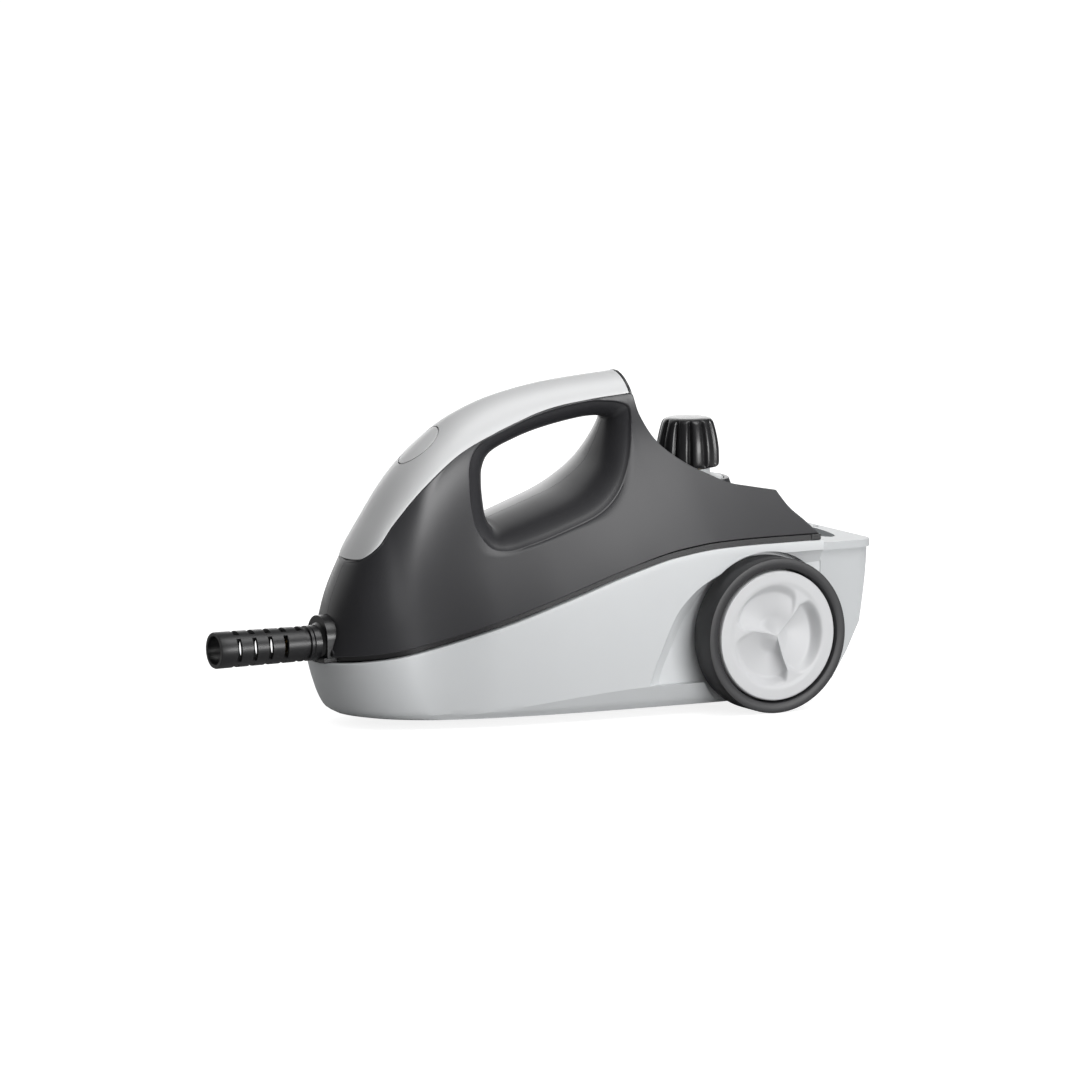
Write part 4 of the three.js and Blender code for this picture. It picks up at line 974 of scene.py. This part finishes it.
TYRE = [
    (94.3, 56.2), (94.0, 62.6), (94.6, 64.2), (96.0, 65.0), (121.1, 65.0), (121.8, 64.7),
    (122.0, 64.0), (122.0, 57.2), (121.6, 56.7), (120.0, 56.2),
]
for side, word in ((1, "left"), (-1, "right")):
    body = f"wheel_{word}_body"
    tyre = turned("tyre", TYRE, "x", (0, AXLE_Z), 160)
    cap = hub_cap("cap")
    pieces = [copy_of(p, f"{p.name}_{word}_skin", mirror=side < 0) for p in (tyre, cap)]
    for old in (tyre, cap):
        bpy.data.objects.remove(old)
    settle(soften(pieces[0], 40), body, tread_rubber, "tyre", f"tyre_{word}")
    settle(soften(pieces[1], 50), body, hub_grey, "hub_grey", f"hub_cap_{word}")

# %% [markdown]
# ## The safety cap
# The knob of the boiler's safety cap is gripped with a whole hand, so it has twelve broad ribs
# with narrow grooves between them, and it narrows towards a softly rounded top. Below it a pale
# collar and a low dark ring seal the filler to the deck.

# %% Build the knob, collar and ring
knob_rule = rule([
    (195, 25.2), (196.2, 26.2), (200, 26.5), (208, 26.3), (216, 25.4), (224, 23.8), (230, 22.2),
    (233.4, 20.9), (235.2, 18.9), (236, 15.5),
])
RIBS = 12
KNOB_FOOT_Z, KNOB_TOP_Z, GROOVE_DEPTH = 195, 236, 2.6


def knob_ring(z, sides_per_rib=18):
    ring = []
    base_radius = knob_rule(z)[0]
    depth = GROOVE_DEPTH * ease(z, KNOB_FOOT_Z, 197.5) * (1 - ease(z, 231.5, 235.5))
    for k in range(RIBS * sides_per_rib):
        share = (k % sides_per_rib) / sides_per_rib
        groove = math.exp(-((min(share, 1 - share) / 0.13) ** 2.4))
        crown = 0.35 * math.cos(2 * math.pi * share)
        radius = base_radius - depth * groove - crown * depth / GROOVE_DEPTH
        angle = 2 * math.pi * k / (RIBS * sides_per_rib) + 0.10
        ring.append((radius * math.cos(angle), KNOB_Y + radius * math.sin(angle), z))
    return ring


heights = [KNOB_FOOT_Z + 39.5 * (i / 36) for i in range(37)] + [235.0, 235.4, 235.7, 235.9, 236.0]
rings = [knob_ring(z) for z in heights]
top = rings[-1]
for share in (0.75, 0.45, 0.15):
    crown_z = KNOB_TOP_Z + 0.5 * (1 - share)
    rings.append([(x * share, KNOB_Y + (y - KNOB_Y) * share, crown_z) for x, y, _ in top])
knob = loft("cap_knob_skin", rings)
cut(knob, bar("hollow", "z", 19.5, 190, 228, (0, KNOB_Y), 64))
settle(soften(knob, 40), "cap_push", gloss_black, "black_plastic", "cap_knob")

COLLAR = [
    (183.3, 16.4), (183.3, 30), (185.2, 30), (186.6, 28.6), (187.2, 26.6), (187.4, 19), (193.3, 18.8),
    (193.3, 16.4),
]
DECK_RING = [
    (180, 30.6), (184.6, 30.6), (185.6, 31.4), (185.8, 33.0), (185.2, 34.6), (180, 36.5),
]
collar = turned("filler_collar_skin", COLLAR, "z", (0, KNOB_Y), 96)
settle(soften(collar, 40), "root", pale, "pale_grey", "filler_collar")
deck_ring = turned("deck_ring", DECK_RING, "z", (0, KNOB_Y), 96)
settle(soften(deck_ring, 40), "root", charcoal, "charcoal_shell")

# %% [markdown]
# ## Finishes for the parts that keep their frame shape
# Screws, castings, wires and brackets already have the right shape. They get a finish, smooth
# shading and, where it shows, a small rounded edge.

# %% Dress the frame's own parts
dress = {
    "cord_gland": (relief_rubber, 0.5), "hose_fitting": (yellow_metal, 0.3),
    "boiler_bottom": (cast, 1.0), "boiler_top": (cast, 1.0), "boiler_gasket": (red_silicone, 0),
    "heating_element": (zinc, 0), "filler_neck": (yellow_metal, 0.3), "thermostat": (black, 0.4),
    "thermal_fuse": (zinc, 0.3), "safety_valve": (yellow_metal, 0.3),
    "steam_valve": (yellow_metal, 0.6),
    "steam_pipe_rear": (zinc, 0), "steam_pipe_front": (zinc, 0), "button_spring": (zinc, 0),
    "power_switch": (black, 0.5), "terminal_block": (black, 0.5), "wire_switch": (brown_sleeve, 0),
    "wire_thermostat": (blue_sleeve, 0), "cap_stem": (yellow_metal, 0.2),
    "cap_washer": (red_silicone, 0),
    "relief_plunger": (zinc, 0.2), "cap_spring": (zinc, 0), "axle": (zinc, 0.4),
    "caster_socket": (black, 0.4), "caster_fork": (black, 0.5), "caster_pin": (zinc, 0.1),
    "caster_wheel": (tread_rubber, 0.8),
}
for word in ("left", "right"):
    dress[f"wheel_{word}"] = (black, 0.3)
    dress[f"axle_clip_{word}"] = (zinc, 0.2)
    dress[f"axle_bush_{word}"] = (black, 0.3)
for number in (1, 2, 3, 4):
    dress[f"boiler_screw_{number}"] = (zinc, 0.15)
    dress[f"case_screw_{number}"] = (zinc, 0.15)
for number in (1, 2, 3):
    dress[f"boiler_foot_{number}"] = (red_silicone, 0.4)
for name, (material, round_by) in dress.items():
    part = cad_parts[name]
    part.data.materials.clear()
    part.data.materials.append(material)
    soften(part, 34, bevel=round_by)
bare = [n for n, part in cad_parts.items() if n not in dress and not part.hide_render]
print("dressed", len(dress), "parts; left without a finish:", bare)

# %% [markdown]
# ## Floor, light and camera
# The machine stands on a plain white floor. A high soft light stands to its left and a little to
# the rear, a low one fills the pale side, and a third on the far side draws bright edges along the
# handle. The front is left dark, so that the flank is bright and the nose falls off into shade.
# The camera stands low and far away with a long lens, so lines hardly converge.

# %% Floor
floor_mesh = bpy.data.meshes.new("floor")
floor_work = bmesh.new()
FLOOR_HALF, FLOOR_Z = 30, -0.0004
floor_plan = [(-1, -1), (1, -1), (1, 1), (-1, 1)]
corners = [floor_work.verts.new((x * FLOOR_HALF, y * FLOOR_HALF, FLOOR_Z)) for x, y in floor_plan]
floor_work.faces.new(corners)
floor_work.to_mesh(floor_mesh)
floor_work.free()
floor = bpy.data.objects.new("floor", floor_mesh)
bpy.context.scene.collection.objects.link(floor)
paper = bpy.data.materials.new("white paper")
paper.use_nodes = True
paper_nodes, paper_links = paper.node_tree.nodes, paper.node_tree.links
paper_shader = paper_nodes["Principled BSDF"]
paper_shader.inputs["Base Color"].default_value = (0.45, 0.45, 0.45, 1)
paper_shader.inputs["Roughness"].default_value = 0.9
paper_shader.inputs["Specular IOR Level"].default_value = 0.1
paper_shader.inputs["Emission Color"].default_value = (1, 1, 1, 1)
seen = paper_nodes.new("ShaderNodeLightPath")
glow = paper_nodes.new("ShaderNodeMath")
glow.operation = "MULTIPLY"
glow.inputs[1].default_value = 0.85
paper_links.new(seen.outputs["Is Camera Ray"], glow.inputs[0])
paper_links.new(glow.outputs[0], paper_shader.inputs["Emission Strength"])
floor_mesh.materials.append(paper)
print("the floor is", 2 * FLOOR_HALF, "metres across")

# %% [markdown]
# The light of the room is a calm grey with two brighter patches in it. One is high on the left and
# one low on the far side, and both fade out softly, as light from a cloth screen does.

# %% World light
world = bpy.data.worlds.new("studio")
bpy.context.scene.world = world
world.use_nodes = True
sky, sky_links = world.node_tree.nodes, world.node_tree.links
sky.clear()
out = sky.new("ShaderNodeOutputWorld")
mix = sky.new("ShaderNodeMixShader")
plain = sky.new("ShaderNodeBackground")
soft = sky.new("ShaderNodeBackground")
direction = sky.new("ShaderNodeTexCoord")
# Each patch of light: where it lies, how far it reaches, and its strength outside and in its middle.
PATCHES = (((0.45, 0.28, 0.84), 0.60, 0.08, 0.70), ((-0.93, -0.10, 0.34), 0.50, 0.0, 1.0))
lobes = []
for aim, start, low, high in PATCHES:
    facing = sky.new("ShaderNodeVectorMath")
    facing.operation = "DOT_PRODUCT"
    facing.inputs[1].default_value = Vector(aim).normalized()
    strength = sky.new("ShaderNodeMapRange")
    strength.interpolation_type = "SMOOTHSTEP"
    strength.inputs["From Min"].default_value = start
    strength.inputs["From Max"].default_value = 1.0
    strength.inputs["To Min"].default_value = low
    strength.inputs["To Max"].default_value = high
    sky_links.new(direction.outputs["Generated"], facing.inputs[0])
    sky_links.new(facing.outputs["Value"], strength.inputs["Value"])
    lobes.append(strength.outputs["Result"])
both = sky.new("ShaderNodeMath")
both.operation = "ADD"
sky_links.new(lobes[0], both.inputs[0])
sky_links.new(lobes[1], both.inputs[1])
ray = sky.new("ShaderNodeLightPath")
plain.inputs["Color"].default_value = (1, 1, 1, 1)
soft.inputs["Color"].default_value = (1, 1, 1, 1)
sky_links.new(both.outputs[0], soft.inputs["Strength"])
sky_links.new(ray.outputs["Is Camera Ray"], mix.inputs["Fac"])
sky_links.new(soft.outputs["Background"], mix.inputs[1])
sky_links.new(plain.outputs["Background"], mix.inputs[2])
sky_links.new(mix.outputs["Shader"], out.inputs["Surface"])
print("the room has", len(PATCHES), "brighter patches")


# %% [markdown]
# Three broad lamps do the rest. The larger a lamp is, the softer the edge of its reflection.

# %% Lights
def soft_light(name, position, aim, size, power):
    lamp = bpy.data.lights.new(name, "AREA")
    lamp.shape = "RECTANGLE"
    lamp.size, lamp.size_y = size
    lamp.energy = power
    holder = bpy.data.objects.new(name, lamp)
    holder.location = position
    holder.rotation_euler = (Vector(aim) - Vector(position)).to_track_quat("-Z", "Y").to_euler()
    bpy.context.scene.collection.objects.link(holder)
    return holder


soft_light("high left light", (1.15, 0.62, 2.2), (0, 0.0, 0.12), (1.4, 1.4), 23)
soft_light("low left light", (2.5, 0.8, 0.4), (0, 0.0, 0.12), (1.6, 0.7), 42)
soft_light("far side light", (-2.4, 0.9, 0.7), (0, 0.0, 0.15), (2.6, 1.1), 14)
print("lamps:", [lamp.name for lamp in bpy.data.lights])

# %% [markdown]
# A long lens far away keeps parallel edges parallel. The lens length follows from the distance and
# the width that has to fit, so the camera can be moved without changing the framing.

# %% Camera
AZIMUTH, ELEVATION, DISTANCE = math.radians(61.4), math.radians(8.0), 8.0
VIEW_WIDTH = 0.9
target = Vector((0, 0.0199, 0.1411))
level = math.cos(ELEVATION)
back = Vector((math.sin(AZIMUTH) * level, -math.cos(AZIMUTH) * level, math.sin(ELEVATION)))
lens = bpy.data.cameras.new("camera")
lens.sensor_width = 36
lens.lens = 36 * DISTANCE / VIEW_WIDTH
camera = bpy.data.objects.new("camera", lens)
camera.location = target + back * DISTANCE
camera.rotation_euler = (-back).to_track_quat("-Z", "Y").to_euler()
bpy.context.scene.collection.objects.link(camera)
bpy.context.scene.camera = camera
bpy.context.scene.view_settings.view_transform = "Standard"
print("camera at", [round(v, 3) for v in camera.location], "with a lens of", round(lens.lens, 1))
